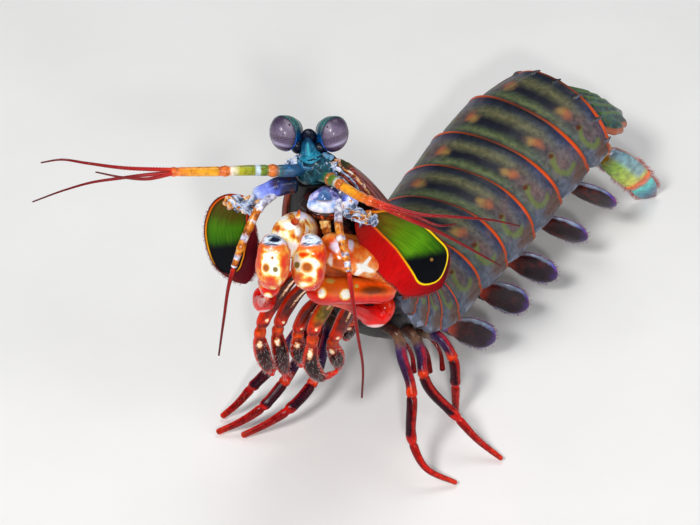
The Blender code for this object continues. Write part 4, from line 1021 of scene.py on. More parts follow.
def lip_look():
    """Blue-grey shield with a milky wedge, a white lower roll and a maroon underside."""
    look = Look("lip_skin", rough=0.26, coat=0.35, coat_rough=0.1, through=0.15, shine=0.3)
    shield, rim, tag = look.channels("mark")
    below, wedge_rim, _ = look.channels("tone")
    colour = look.ramp(look.noise(0.7, 3.0), ((0.34, rgb(66, 62, 108)), (0.5, rgb(120, 122, 196)),
                                              (0.66, rgb(196, 196, 240))))
    low = look.ramp(look.noise(0.6, 3.0), ((0.35, rgb(150, 186, 246)), (0.5, rgb(216, 228, 255)),
                                           (0.7, rgb(250, 248, 255))))
    colour = look.mix(look.edge(rim, 0.30, 0.3, 0.6), colour, low)
    wedge = look.ramp(look.noise(0.8, 3.0), ((0.35, rgb(48, 88, 146)), (0.55, rgb(84, 126, 180)),
                                             (0.7, rgb(126, 160, 206))))
    colour = look.mix(look.edge(shield, 0.16, 0.16, 0.8), colour, wedge)
    colour = look.mix(look.calc("MULTIPLY", look.edge(wedge_rim, 0.3, 0.3), 0.6), colour, rgb(170, 140, 110))
    maroon = look.ramp(look.noise(0.9, 3.0), (
        (0.35, rgb(30, 8, 10)), (0.55, rgb(70, 18, 12)), (0.66, rgb(196, 66, 12)), (0.75, rgb(236, 120, 30))))
    colour = look.mix(look.edge(below, 0.06, 0.06), colour, maroon)
    colour = look.mix(look.step(tag, 0.4, 0.6), colour,
                      look.ramp(look.noise(0.7, 3.0), ((0.35, rgb(96, 40, 6)), (0.5, rgb(190, 100, 20)),
                                                       (0.62, rgb(240, 196, 120)))))
    return look.finish(colour, look.noise(0.9, 4.0), 0.25, 0.7)


def build_mouth():
    look = lip_look()
    shape = Shape()
    points, wide, thick = zip(*LIP)

    # The lip's front is on the side of positive sines.
    def form(k, c, s):
        front = s > 0
        fold = 0.16 * bump_at(c, 0, 0.30) - 0.20 * bump_at(np.abs(c), 0.58, 0.10)
        flare = 0.12 * bump_at(k, 1.75, 0.32) - 0.22 * bump_at(k, 2.22, 0.10) - 0.16 * bump_at(k, 1.22, 0.07)
        narrow = -0.22 * ease(k, 1.0, 0.2) * bump_at(np.abs(c), 0.9, 0.3)
        return 1 + fold * front * ease(k, 0.1, 0.4) * ease(k, 1.35, 1.15) + flare * ease(s, -0.2, 0.4) + narrow

    def marks(k, c, s, grid):
        front = s > 0
        half = 0.10 + 0.46 * np.clip(k, 0, 1.2)
        triangle = np.minimum(1 - np.abs(c) / half / 2, 0.5 + (1.16 - k) * 2) * ease(k, -0.1, 0.25)
        rim = 0.5 + (0.50 - np.abs(k - 1.72)) * 1.2
        below = 0.5 + (k - 2.16) * 2
        foot = (1 - np.abs(k - 1.14) / 0.10) * ease(np.abs(c), 0.6, 0.5)
        return (np.stack((triangle * front, np.clip(rim, 0, 1) * front, 0 * k), -1),
                np.stack((np.clip(below, 0, 1), foot * front, 0 * k), -1))

    limb(shape, points, wide, thick, (1.0, 0.0, 0.0), 90, 72, form, marks)
    points, wide, thick = zip(*PALP)
    limb(shape, points, wide, thick, (1.0, 0.0, 0.0), 30, 24, lambda k, c, s: 1 + 0.06 * np.sin(k * 14),
         lambda k, c, s, grid: (np.stack((0 * k, 0 * k, 1 + 0 * k), -1), None))
    piece("lip_and_palp", shape, look, "mouth", "mouth")


# Feelers
ANTENNULES = {
    "left": {
        "peduncle": ((1.6, -6.0, 73.6), (3.4, -8.4, 74.9), (5.6, -11.0, 75.6),
                     (9.2, -15.0, 76.0), (15.2, -20.0, 76.8)),
        "flagella": (
            ((15.2, -20.0, 76.8), (22.1, -22.0, 76.6), (30.0, -22.0, 75.8),
             (38.0, -21.0, 73.9), (43.1, -20.0, 71.6)),
            ((15.2, -20.0, 76.8), (21.0, -23.6, 77.6), (26.2, -25.6, 76.6), (29.6, -27.0, 78.3)),
            ((15.2, -20.0, 76.8), (20.6, -20.8, 74.0), (25.5, -21.0, 71.4),
             (30.3, -21.0, 68.2), (35.7, -21.0, 64.3), (39.7, -20.0, 60.5)),
        ),
    },
    "right": {
        "peduncle": ((-1.6, -5.6, 75.0), (-4.2, -8.0, 76.5), (-11.9, -10.2, 78.4),
                     (-19.2, -12.0, 79.6), (-28.8, -14.0, 81.1)),
        "flagella": (
            ((-28.8, -14.0, 81.1), (-38.8, -15.5, 83.5), (-45.4, -16.5, 85.5),
             (-50.3, -17.0, 86.8), (-54.5, -17.0, 86.0)),
            ((-28.8, -14.0, 81.1), (-33.4, -16.6, 81.4), (-37.8, -17.6, 82.6),
             (-43.5, -18.0, 84.4)),
            ((-28.8, -14.0, 81.1), (-34.0, -13.4, 79.8), (-39.3, -13.0, 78.6),
             (-45.5, -12.5, 77.0), (-51.1, -12.0, 74.6), (-58.4, -11.0, 70.5)),
        ),
    },
}
ANTENNULE_RADII = (1.5, 1.45, 1.2, 1.1, 1.0)
FLAGELLUM_SPREAD = ((0.0, 0.1, 0.45), (0.0, -0.45, 0.05), (0.0, 0.25, -0.4))
ANTENNAE = {
    "left": {
        "protopod": ((3.8, -6.6, 71.4), (6.4, -8.8, 70.9), (9.4, -11.2, 69.4)),
        "peduncle": ((6.0, -9.4, 70.4), (5.7, -13.0, 70.4), (6.2, -21.0, 69.2),
                     (7.3, -24.0, 66.4), (7.9, -26.0, 64.3)),
        "flagellum": ((7.9, -26.0, 64.3), (8.7, -28.6, 58.4), (9.8, -31.0, 50.5),
                      (10.8, -33.0, 43.8), (10.6, -35.0, 36.4)),
    },
    "right": {
        "protopod": ((-3.0, -6.4, 71.6), (-7.0, -8.4, 72.4), (-12.2, -10.6, 71.4)),
        "peduncle": ((-7.4, -9.2, 71.6), (-10.9, -14.0, 71.2), (-12.9, -17.0, 68.5),
                     (-14.7, -19.5, 65.1), (-16.2, -21.5, 61.3)),
        "flagellum": ((-16.2, -21.5, 61.3), (-17.1, -22.8, 58.4), (-18.4, -26.0, 51.2),
                      (-19.7, -29.0, 43.0)),
    },
}


def annulated(step, depth=0.07):
    """Radius factor of a whip made of many short rings."""
    return lambda k, c, s: 1 + depth * np.sin(2 * math.pi * k / step)


def whip_look():
    look = Look("feeler_whip", rough=0.3, coat=0.25, shine=0.2)
    k, c, s = look.channels("place")
    tag = look.channels("tone")[0]
    dashes = look.step(look.calc("PINGPONG", look.calc("MULTIPLY", k, 30.0), 0.5), 0.2, 0.35)
    yellow = look.calc("MULTIPLY", dashes, look.calc("MULTIPLY", look.step(c, 0.0, 0.6), look.step(k, 0.2, 0.0)))
    colour = look.ramp(k, ((0.0, rgb(206, 50, 10)), (0.08, rgb(176, 14, 8)), (0.3, rgb(140, 6, 8)),
                           (1.0, rgb(80, 5, 8))))
    colour = look.mix(look.calc("MULTIPLY", yellow, tag), colour, rgb(240, 176, 40))
    colour = look.mix(look.step(look.noise(1.4, 2.0), 0.55, 0.7, 0.0, 0.4), colour, rgb(64, 3, 8))
    return look.finish(colour, look.noise(3.0, 3.0), 0.05, 0.5)


def antennule_look(side):
    """Orange, green and blue segments, told apart by the knot number."""
    look = Look("antennule_shell_" + side, rough=0.28, coat=0.5)
    k, c, s = look.channels("place")
    if side == "right":
        stops = ((0.0, rgb(10, 56, 82)), (0.24, rgb(20, 74, 116)), (0.30, rgb(26, 84, 126)), (0.34, rgb(40, 96, 104)),
                 (0.375, rgb(206, 104, 18)), (0.40, rgb(206, 104, 18)), (0.42, rgb(84, 118, 20)),
                 (0.455, rgb(110, 136, 30)), (0.465, rgb(190, 210, 226)), (0.485, rgb(190, 210, 226)),
                 (0.50, rgb(128, 140, 22)), (0.60, rgb(172, 168, 30)), (0.655, rgb(236, 226, 206)),
                 (0.675, rgb(214, 104, 12)), (0.74, rgb(206, 96, 10)), (0.76, rgb(238, 166, 16)),
                 (0.9, rgb(238, 150, 14)), (0.975, rgb(226, 104, 8)), (1.0, rgb(204, 76, 8)))
    else:
        stops = ((0.0, rgb(10, 56, 70)), (0.2, rgb(16, 74, 84)), (0.28, rgb(44, 96, 50)), (0.33, rgb(196, 100, 16)),
                 (0.37, rgb(70, 110, 28)), (0.45, rgb(96, 122, 26)), (0.49, rgb(184, 206, 200)),
                 (0.51, rgb(212, 120, 16)), (0.56, rgb(190, 86, 10)), (0.60, rgb(232, 150, 16)),
                 (0.72, rgb(236, 158, 18)), (0.80, rgb(230, 130, 14)), (0.88, rgb(226, 96, 14)),
                 (0.94, rgb(206, 60, 12)), (1.0, rgb(206, 40, 10)))
    colour = look.ramp(k, stops)
    specks = look.calc("MULTIPLY", look.step(look.cells(0.9), 0.30, 0.12), look.step(k, 0.36, 0.3))
    colour = look.mix(look.calc("MULTIPLY", specks, 0.7), colour, rgb(54, 140, 226))
    colour = look.mottle(colour, 0.22, 1.1)
    blot = look.calc("MULTIPLY", look.step(look.noise(0.8, 4.0), 0.58, 0.68), 0.5)
    colour = look.mix(blot, colour, rgb(120, 54, 8))
    return look.finish(colour, look.noise(2.0, 4.0), 0.1, 0.5)


def build_antennules():
    whip = whip_look()
    # Knot numbers of the swollen joints and of the white line beside each
    joints = {"right": (1.52, 2.80, 3.96), "left": (1.32, 2.16, 3.50)}
    for side, spec in ANTENNULES.items():
        shape = Shape()

        def form(k, c, s, joints=joints[side]):
            swell = sum(0.13 * bump_at(k, j, 0.055) - 0.10 * bump_at(k, j + 0.13, 0.03)
                        - 0.10 * bump_at(k, j - 0.12, 0.03) for j in joints)
            ridges = 0.02 * np.sin(np.arctan2(s, c) * 7)
            return 0.93 + swell + ridges

        limb(shape, spec["peduncle"], ANTENNULE_RADII, ANTENNULE_RADII, (0.0, 0.3, 1.0), 190, 36, form)
        piece("antennule_stem_" + side, shape, antennule_look(side), "antennule", "antennule_" + side)
        shape = Shape()
        tip = np.array(spec["peduncle"][-1])
        inward = unit(np.array(spec["peduncle"][-2]) - tip)
        for number, (knots, offset) in enumerate(zip(spec["flagella"], FLAGELLUM_SPREAD)):
            route = [tip + inward * 0.8 + np.array(offset), *knots[1:]]
            thick = side == "left" and number == 2
            radii = np.linspace(0.62 if thick else 0.46, 0.16, len(route))
            limb(shape, route, radii, radii, (0.0, 0.3, 1.0), 220, 10, annulated(0.06), tag=1.0 * thick)
        piece("antennule_whips_" + side, shape, whip, "antennule")


def peduncle_look():
    """Clear stem with orange-brown bands and white joints."""
    look = Look("antenna_stem", rough=0.25, coat=0.4, through=0.15, shine=0.4)
    band = look.channels("tone")[0]
    clear = look.ramp(look.noise(0.8, 4.0), ((0.32, rgb(110, 96, 104)), (0.46, rgb(176, 176, 204)),
                                             (0.6, rgb(240, 244, 255))))
    brown = look.ramp(look.noise(0.7, 4.0), ((0.32, rgb(120, 50, 8)), (0.5, rgb(200, 110, 16)),
                                             (0.62, rgb(232, 156, 30)), (0.74, rgb(206, 190, 180))))
    colour = look.mix(look.edge(band, 0.12, 0.3, 0.7), clear, brown)
    return look.finish(colour, look.noise(1.6, 3.0), 0.06, 0.4)


def protopod_look():
    look = Look("antenna_base", rough=0.24, coat=0.35, coat_rough=0.08, shine=0.3)
    k, c, s = look.channels("place")
    colour = look.ramp(look.stirred(k, 0.7, 0.35), (
        (0.0, rgb(14, 40, 60)), (0.3, rgb(22, 26, 56)), (0.55, rgb(44, 50, 100)), (0.68, rgb(84, 104, 210)),
        (0.8, rgb(132, 150, 240)), (1.0, rgb(190, 204, 248))))
    rust = look.calc("MULTIPLY", look.step(look.noise(0.6, 4.0), 0.56, 0.66), look.step(k, 0.8, 0.5))
    colour = look.mix(look.calc("MULTIPLY", rust, 0.7), colour, rgb(84, 40, 30))
    dots = look.step(look.cells(1.4), 0.26, 0.12)
    colour = look.mix(look.calc("MULTIPLY", dots, 0.6), colour, rgb(30, 20, 50))
    return look.finish(colour, look.noise(1.2, 4.0), 0.25, 0.6)


def build_antennae(skin):
    stem_look, base_look, whip = peduncle_look(), protopod_look(), whip_look()
    # Middle and half width, in knot numbers, of each brown band of the stem
    bands = {"right": ((1.35, 0.26), (2.05, 0.34), (2.98, 0.36), (3.72, 0.16)),
             "left": ((1.75, 0.22), (2.45, 0.30), (3.10, 0.18), (3.75, 0.10))}
    for side, spec in ANTENNAE.items():
        shape = Shape()
        limb(shape, spec["protopod"], (2.0, 2.0, 1.5), (1.9, 1.9, 1.4), (0.0, 0.3, 1.0), 60, 40,
             lambda k, c, s: 1 + 0.05 * np.sin(k * 8) + 0.04 * np.sin(np.arctan2(s, c) * 5))
        piece("antenna_base_" + side, shape, base_look, "antenna", "antenna_" + side)

        def banding(k, c, s, grid, rows=bands[side]):
            field = np.zeros_like(k)
            for middle, half in rows:
                field = np.maximum(field, 1 - np.abs(k - middle) / (2 * half))
            return None, np.stack((field, 0 * k, 0 * k), -1)

        def form(k, c, s):
            return 0.95 + sum(0.12 * bump_at(k, j, 0.10) - 0.08 * bump_at(k, j + 0.2, 0.06) for j in (1.0, 2.0, 3.0, 3.9))

        shape = Shape()
        radii = (1.0, 0.95, 0.9, 0.82, 0.62)
        limb(shape, spec["peduncle"], radii, radii, (1.0, 0.0, 0.2), 130, 30, form, banding)
        piece("antenna_stem_" + side, shape, stem_look, "antenna")
        shape = Shape()
        radii = np.linspace(0.52, 0.2, len(spec["flagellum"]))
        limb(shape, spec["flagellum"], radii, radii, (1.0, 0.0, 0.2), 200, 10, annulated(0.06))
        piece("antenna_whip_" + side, shape, whip, "antenna")
        build_knobs(side, skin)


def build_knobs(side, skin):
    """Folded clear skin where the antennal scale is hinged."""
    rng = np.random.default_rng(4 if side == "right" else 9)
    shape = Shape()
    lobes(shape, HINGE[side], 17 if side == "right" else 18, 0.5, 1.45)
    places = np.array([row[:3] for row in HINGE[side]])
    for n in range(3):
        knots = [places[int(i)] + rng.normal(size=3) * 0.5 + (0, -0.9, 0.3) for i in np.linspace(0, len(places) - 1, 4)]
        frill(shape, knots, rng.normal(size=3) + np.array((0, -0.5, 1)), 0.7, 0.18, 2, 0.3,
              tag=(float(n % 2), 0.0, 0.0), rings=50)
    piece("scale_hinge_" + side, shape, skin, "antenna")
HINGE = {
    "right": ((-16.9, -12.8, 72.2, 1), (-15.4, -12.6, 72.6, 0), (-14.0, -12.8, 71.2, 1), (-12.6, -12.4, 72.0, 0),
              (-13.0, -12.8, 70.4, 0), (-11.4, -12.4, 70.8, 1), (-16.2, -12.4, 70.9, 0)),
    "left": ((7.4, -12.8, 70.4, 0), (8.8, -13.0, 69.4, 1), (10.2, -13.2, 69.4, 0), (9.6, -13.0, 67.8, 0),
             (11.6, -13.4, 68.2, 1), (12.8, -13.4, 67.4, 0), (7.0, -12.6, 68.8, 0)),
}


# Antennal scales: middle line, half widths, and the direction of their width
SCALES = {
    "left": {
        "line": ((9.6, -12.6, 67.9), (13.2, -12.6, 64.6), (17.4, -12.8, 60.6),
                 (21.6, -13.0, 56.2), (25.4, -13.4, 51.6), (27.6, -13.8, 48.8)),
        "wide": (1.6, 4.9, 6.8, 7.2, 6.0, 1.8), "across": (0.61, 0.53, 0.59), "outer": 1.0,
        "rim_u": (0.0, 0.14, 0.26, 0.44, 0.56, 0.73, 0.89, 1.0),
        "rim_v": (0.30, 0.05, -0.03, -0.10, -0.20, -0.34, -0.52, -0.60),
        "black": (0.585, 0.24), "dot": (0.749, 0.36), "bead": 0.20,
    },
    "right": {
        "line": ((-14.0, -11.2, 72.2), (-15.8, -11.4, 70.0), (-17.2, -11.8, 66.2),
                 (-17.0, -12.5, 60.8), (-15.8, -13.1, 55.2), (-14.4, -13.6, 50.0)),
        "wide": (1.6, 4.3, 5.2, 5.5, 4.7, 1.5), "across": (1.0, 0.1, 0.0), "outer": -1.0,
        "rim_u": (0.0, 0.10, 0.30, 0.54, 0.70, 0.86, 1.0),
        "rim_v": (-0.40, -0.58, -0.70, -0.57, -0.31, 0.10, 0.30),
        "black": (0.515, -0.02), "dot": None, "bead": 0.16,
    },
}
SCALE_OUTER_RIM = 0.93


def scale_look(side):
    """Green blade with a black end, a yellow rim and a red fringe band, and painted shade along the blade's border."""
    look = Look("antennal_scale_" + side, rough=0.36, coat=0.0, shine=0.10)
    u, v, mm = look.channels("place")
    blade, black, rim = look.channels("mark")
    dot, fringe, lower = look.channels("tone")
    streak = look.noise(1.0, 4.0, source=look.node("ShaderNodeCombineXYZ", {
        0: look.calc("MULTIPLY", u, 5.0), 1: look.calc("MULTIPLY", v, 26.0), 2: 0.0}).outputs[0])
    reach = look.stirred(u, 0.10, 0.3)
    if side == "left":
        green = look.ramp(reach, ((0.0, rgb(120, 50, 8)), (0.14, rgb(104, 70, 8)), (0.28, rgb(84, 84, 4)),
                                  (0.42, rgb(82, 124, 4)), (0.56, rgb(84, 144, 10)), (0.66, rgb(50, 110, 2)),
                                  (0.8, rgb(24, 70, 2))))
    else:
        green = look.ramp(reach, ((0.0, rgb(90, 34, 6)), (0.12, rgb(70, 44, 6)), (0.24, rgb(52, 62, 4)),
                                  (0.36, rgb(52, 112, 2)), (0.50, rgb(40, 96, 2)), (0.7, rgb(16, 50, 2))))
    rust = look.calc("MULTIPLY", look.step(streak, 0.50, 0.62), look.step(u, 0.42, 0.10, 0.0, 0.6))
    green = look.mix(rust, green, rgb(140, 60, 6))
    green = look.mix(look.step(streak, 0.40, 0.70, 0.0, 0.28), green, rgb(26, 54, 2))
    green = look.mix(look.step(streak, 0.60, 0.30, 0.0, 0.18), green, rgb(130, 150, 24))
    # Painted shade: darker olive in a band about a millimetre wide inside the blade's border.
    green = look.mix(look.step(blade, 0.50, 0.80, 0.7, 0.0), green, rgb(36, 34, 4))
    inside = look.mix(look.edge(black, 0.13, 0.08, 0.5), green, rgb(1, 2, 8))
    inside = look.mix(look.edge(dot, 0.2, 0.2), inside, rgb(140, 104, 52))
    if side == "left":
        band = look.ramp(u, ((0.0, rgb(120, 20, 6)), (0.25, rgb(176, 4, 2)), (0.6, rgb(206, 2, 2)),
                             (0.85, rgb(170, 2, 8)), (1.0, rgb(110, 2, 12))))
        outer = rgb(84, 4, 16)
    else:
        band = look.ramp(u, ((0.0, rgb(186, 40, 4)), (0.2, rgb(150, 30, 6)), (0.32, rgb(90, 6, 14)),
                             (0.7, rgb(64, 3, 18)), (1.0, rgb(84, 4, 18))))
        outer = rgb(90, 10, 10)
    hair = look.noise(1.0, 4.0, source=look.node("ShaderNodeCombineXYZ", {
        0: look.calc("MULTIPLY", u, 70.0), 1: look.calc("MULTIPLY", v, 3.0), 2: 0.0}).outputs[0])
    band = look.mix(look.step(hair, 0.35, 0.7, 0.0, 0.3), band, rgb(56, 2, 8))
    band = look.mix(look.step(fringe, 0.45, 0.55), band, outer)
    colour = look.mix(look.edge(blade, 0.03, 0.0), band, inside)
    lift = look.calc("ADD", look.stirred(u, 0.1, 0.5), look.calc("MULTIPLY", lower, 0.30))
    if side == "left":
        rim_tone = look.ramp(lift, ((0.0, rgb(176, 50, 4)), (0.3, rgb(216, 92, 4)), (0.5, rgb(226, 140, 2)),
                                    (0.75, rgb(248, 206, 2)), (1.0, rgb(252, 214, 10))))
    else:
        rim_tone = look.ramp(lift, ((0.0, rgb(170, 40, 4)), (0.35, rgb(196, 56, 4)), (0.6, rgb(206, 110, 6)),
                                    (0.85, rgb(214, 150, 10)), (1.05, rgb(140, 80, 10)), (1.3, rgb(70, 12, 14))))
    colour = look.mix(look.edge(rim, 0.12, 0.03), colour, rim_tone)
    height = look.calc("ADD", look.calc("MULTIPLY", streak, 0.6), look.calc("MULTIPLY", hair, 0.4))
    return look.finish(colour, height, 0.12, 0.4)


def build_scales():
    for side, spec in SCALES.items():
        shape = Shape()
        knots = np.array(spec["line"])
        arc = arc_of(knots)
        quarter = 1 - np.cos(np.linspace(0.05, math.pi / 2, 14))
        ends = 0.06
        share = np.concatenate((ends * quarter, np.linspace(ends, 1 - ends, 170)[1:-1], (1 - ends * quarter)[::-1]))
        centres = curve(arc, knots, share * arc[-1])
        width = curve(arc, spec["wide"], share * arc[-1])
        round_off = np.sqrt(1 - np.clip((ends - share) / ends, 0, 1) ** 2) * np.sqrt(
            1 - np.clip((share - 1 + ends) / ends, 0, 1) ** 2)
        width = width * (0.25 + 0.75 * round_off)
        _, across, normal = frames_along(centres, spec["across"])
        outer = spec["outer"]
        v = -np.cos(np.linspace(0, math.pi, 75)) * outer
        grid, values = scale_sheet(spec, share, centres, width, across, normal, v, outer)
        shape.add_closed(grid, *values)
        piece("scale_" + side, shape, scale_look(side), "scale", "antennal_scale_" + side)
        build_fringe(side, spec, share, centres, width, across, normal)


def scale_sheet(spec, share, centres, width, across, normal, v, outer):
    """Both faces of a scale as one closed grid, with its raised rims and its colour fields.

    q runs over the width from the inner edge, at -1, to the outer edge.
    """
    q = (v * outer)[None] * np.ones((len(share), 1))
    rim_q = np.interp(share, spec["rim_u"], spec["rim_v"])[:, None]
    u = share[:, None] * np.ones_like(q)
    half = width[:, None]
    from_inner = (q - rim_q) * half
    from_outer = (SCALE_OUTER_RIM - q) * half
    from_tip = (0.945 - u) * 27.0
    corner = 4.8
    inside = corner - np.sqrt(np.maximum(corner - from_inner, 0) ** 2 + np.maximum(corner - from_outer, 0) ** 2
                              + np.maximum(corner - from_tip, 0) ** 2)
    near_base = ease(u, 0.16, 0.02)
    inside = inside * (1 - near_base) + np.minimum(from_inner, from_outer) * near_base
    rim = 0.5 + (spec["bead"] - np.abs(inside)) / 0.7
    blade = np.clip(0.5 + inside / 4, 0, 1)
    offset, slope = spec["black"]
    black = np.clip(0.5 + (u - offset - slope * q) * 2.2, 0, 1)
    if spec["dot"] is None:
        dot = 0 * u
    else:
        dot = 1 - np.hypot((u - spec["dot"][0]) * 24, (q - spec["dot"][1]) * half) / 0.7
    bead = 0.32 * bump_at(inside, 0, 0.32)
    dome = 0.55 * np.sqrt(np.clip(1 - q ** 2, 0, 1)) + 0.25 * np.clip(inside / 3, 0, 1)
    wave = 0.10 * np.sin(u * 26) * ease(q, rim_q, rim_q - 0.5)
    lie = across[:, None] * (v * np.ones_like(q) * half)[..., None]
    upper = centres[:, None] + lie + normal[:, None] * (dome + bead + wave)[..., None]
    under = dome * 0.6 + wave - 0.5 * np.sqrt(np.clip(1 - q ** 2, 0, 1))
    lower = centres[:, None] + lie + normal[:, None] * under[..., None]
    grid = np.concatenate((upper, lower[:, ::-1][:, 1:-1]), axis=1)
    place = np.stack((u, q, q * half), -1)
    mark = np.stack((blade, black, rim), -1)
    tone = np.stack((dot, (q > 0.5) * 1.0, ease(q, -0.2, 0.6)), -1)

    def both(values):
        return np.concatenate((values, values[:, ::-1][:, 1:-1]), axis=1)

    return grid, (both(place), both(mark), both(tone))




def setae_look(name, root, tip):
    look = Look(name, rough=0.4)
    along = look.channels("place")[0]
    colour = look.ramp(along, ((0.0, root), (1.0, tip)))
    colour = look.mottle(colour, 0.25, 0.8)
    return look.finish(colour, look.noise(4.0, 2.0), 0.02, 0.3)


def build_fringe(side, spec, share, centres, width, across, normal):
    """Row of fine hairs round the edge of a scale."""
    shape = Shape()
    rng = np.random.default_rng(21 if side == "left" else 22)
    count = 900
    u = rng.uniform(0.06, 0.995, count)
    edge = np.where(rng.random(count) < 0.7, -1.0, 1.0)
    middle = np.stack([np.interp(u, share, centres[:, j]) for j in range(3)], -1)
    lie = np.stack([np.interp(u, share, across[:, j]) for j in range(3)], -1)
    out = np.stack([np.interp(u, share, normal[:, j]) for j in range(3)], -1)
    along = unit(np.gradient(centres, axis=0))
    ahead = np.stack([np.interp(u, share, along[:, j]) for j in range(3)], -1)
    half = np.interp(u, share, width)
    roots = middle + lie * (edge * spec["outer"] * half * 0.96)[:, None] + out * 0.1
    ways = lie * (edge * spec["outer"])[:, None] + ahead * 0.9 + rng.normal(size=(count, 3)) * 0.08
    hairs(shape, roots, ways, rng.uniform(0.5, 0.9, count), 0.05, np.stack((u, 0.5 + 0.48 * edge), -1), seed=5)
    tone = (rgb(150, 8, 10), rgb(130, 10, 20)) if side == "left" else (rgb(110, 10, 16), rgb(140, 30, 30))
    piece("scale_fringe_" + side, shape, setae_look("scale_setae_" + side, *tone), "scale")


# Raptorial claws: middle, half height and half width
CLAWS = {
    "left": {
        "merus": (
            ((12.6, -6.6, 37.4), 1.8, 1.8), ((15.6, -6.0, 41.0), 2.4, 2.2),
            ((16.8, -6.4, 46.0), 3.9, 3.0), ((13.8, -8.8, 51.8), 4.9, 3.5),
            ((8.4, -13.8, 58.4), 4.9, 3.6), ((3.4, -18.3, 63.6), 3.9, 3.2),
        ),
        "carpus": (
            ((1.5, -20.3, 69.0), 1.6, 1.4), ((0.6, -21.5, 68.3), 2.9, 2.6),
            ((-0.4, -23.4, 64.8), 3.6, 3.2), ((-0.5, -23.2, 60.2), 3.4, 3.0),
            ((-0.2, -22.4, 57.4), 2.4, 2.2),
        ),
        "propodus": (
            ((0.2, -21.4, 55.8), 1.9, 1.8), ((1.2, -20.4, 54.2), 2.7, 2.6),
            ((6.0, -16.0, 49.9), 3.0, 2.8), ((12.0, -11.6, 45.8), 2.9, 2.8),
            ((15.8, -8.8, 43.4), 2.8, 2.7), ((17.4, -7.6, 42.3), 1.7, 1.6),
        ),
        "dactyl": (
            ((16.9, -6.6, 38.0), 1.4, 1.3), ((15.8, -6.2, 36.2), 2.9, 2.6),
            ((13.6, -7.6, 35.4), 3.5, 3.1), ((11.2, -10.0, 37.9), 2.2, 2.0),
            ((8.2, -13.2, 42.6), 1.3, 1.2), ((3.2, -18.2, 48.6), 0.5, 0.5),
        ),
    },
    "right": {
        "merus": (
            ((1.6, -8.0, 53.0), 1.9, 1.9), ((0.2, -8.4, 56.8), 2.6, 2.4),
            ((-1.4, -11.0, 61.6), 3.8, 3.1), ((-3.0, -15.6, 65.8), 4.3, 3.4),
            ((-4.6, -20.0, 68.8), 4.1, 3.3), ((-5.9, -23.6, 70.8), 3.3, 2.9),
        ),
        "carpus": (
            ((-6.4, -25.2, 73.4), 1.6, 1.4), ((-6.9, -26.2, 72.9), 2.7, 2.4),
            ((-7.5, -28.3, 69.8), 3.5, 3.0), ((-8.0, -28.1, 65.0), 3.3, 2.8),
            ((-8.3, -27.0, 61.6), 2.2, 2.0),
        ),
        "propodus": (
            ((-8.4, -25.4, 60.6), 1.8, 1.7), ((-8.6, -24.2, 59.0), 2.4, 2.2),
            ((-8.8, -20.2, 55.6), 2.6, 2.4), ((-9.0, -15.6, 52.4), 2.6, 2.4),
            ((-9.0, -13.6, 51.0), 1.7, 1.6),
        ),
        "dactyl": (
            ((-9.8, -12.6, 47.8), 1.3, 1.2), ((-10.2, -13.4, 46.6), 2.4, 2.2),
            ((-10.4, -15.4, 46.2), 2.5, 2.3), ((-10.2, -17.8, 48.4), 1.6, 1.5),
            ((-9.8, -20.2, 51.0), 1.0, 0.9), ((-9.2, -24.6, 56.0), 0.5, 0.5),
        ),
    },
}
IMAGE_UP = (0.0, 0.67, 0.74)


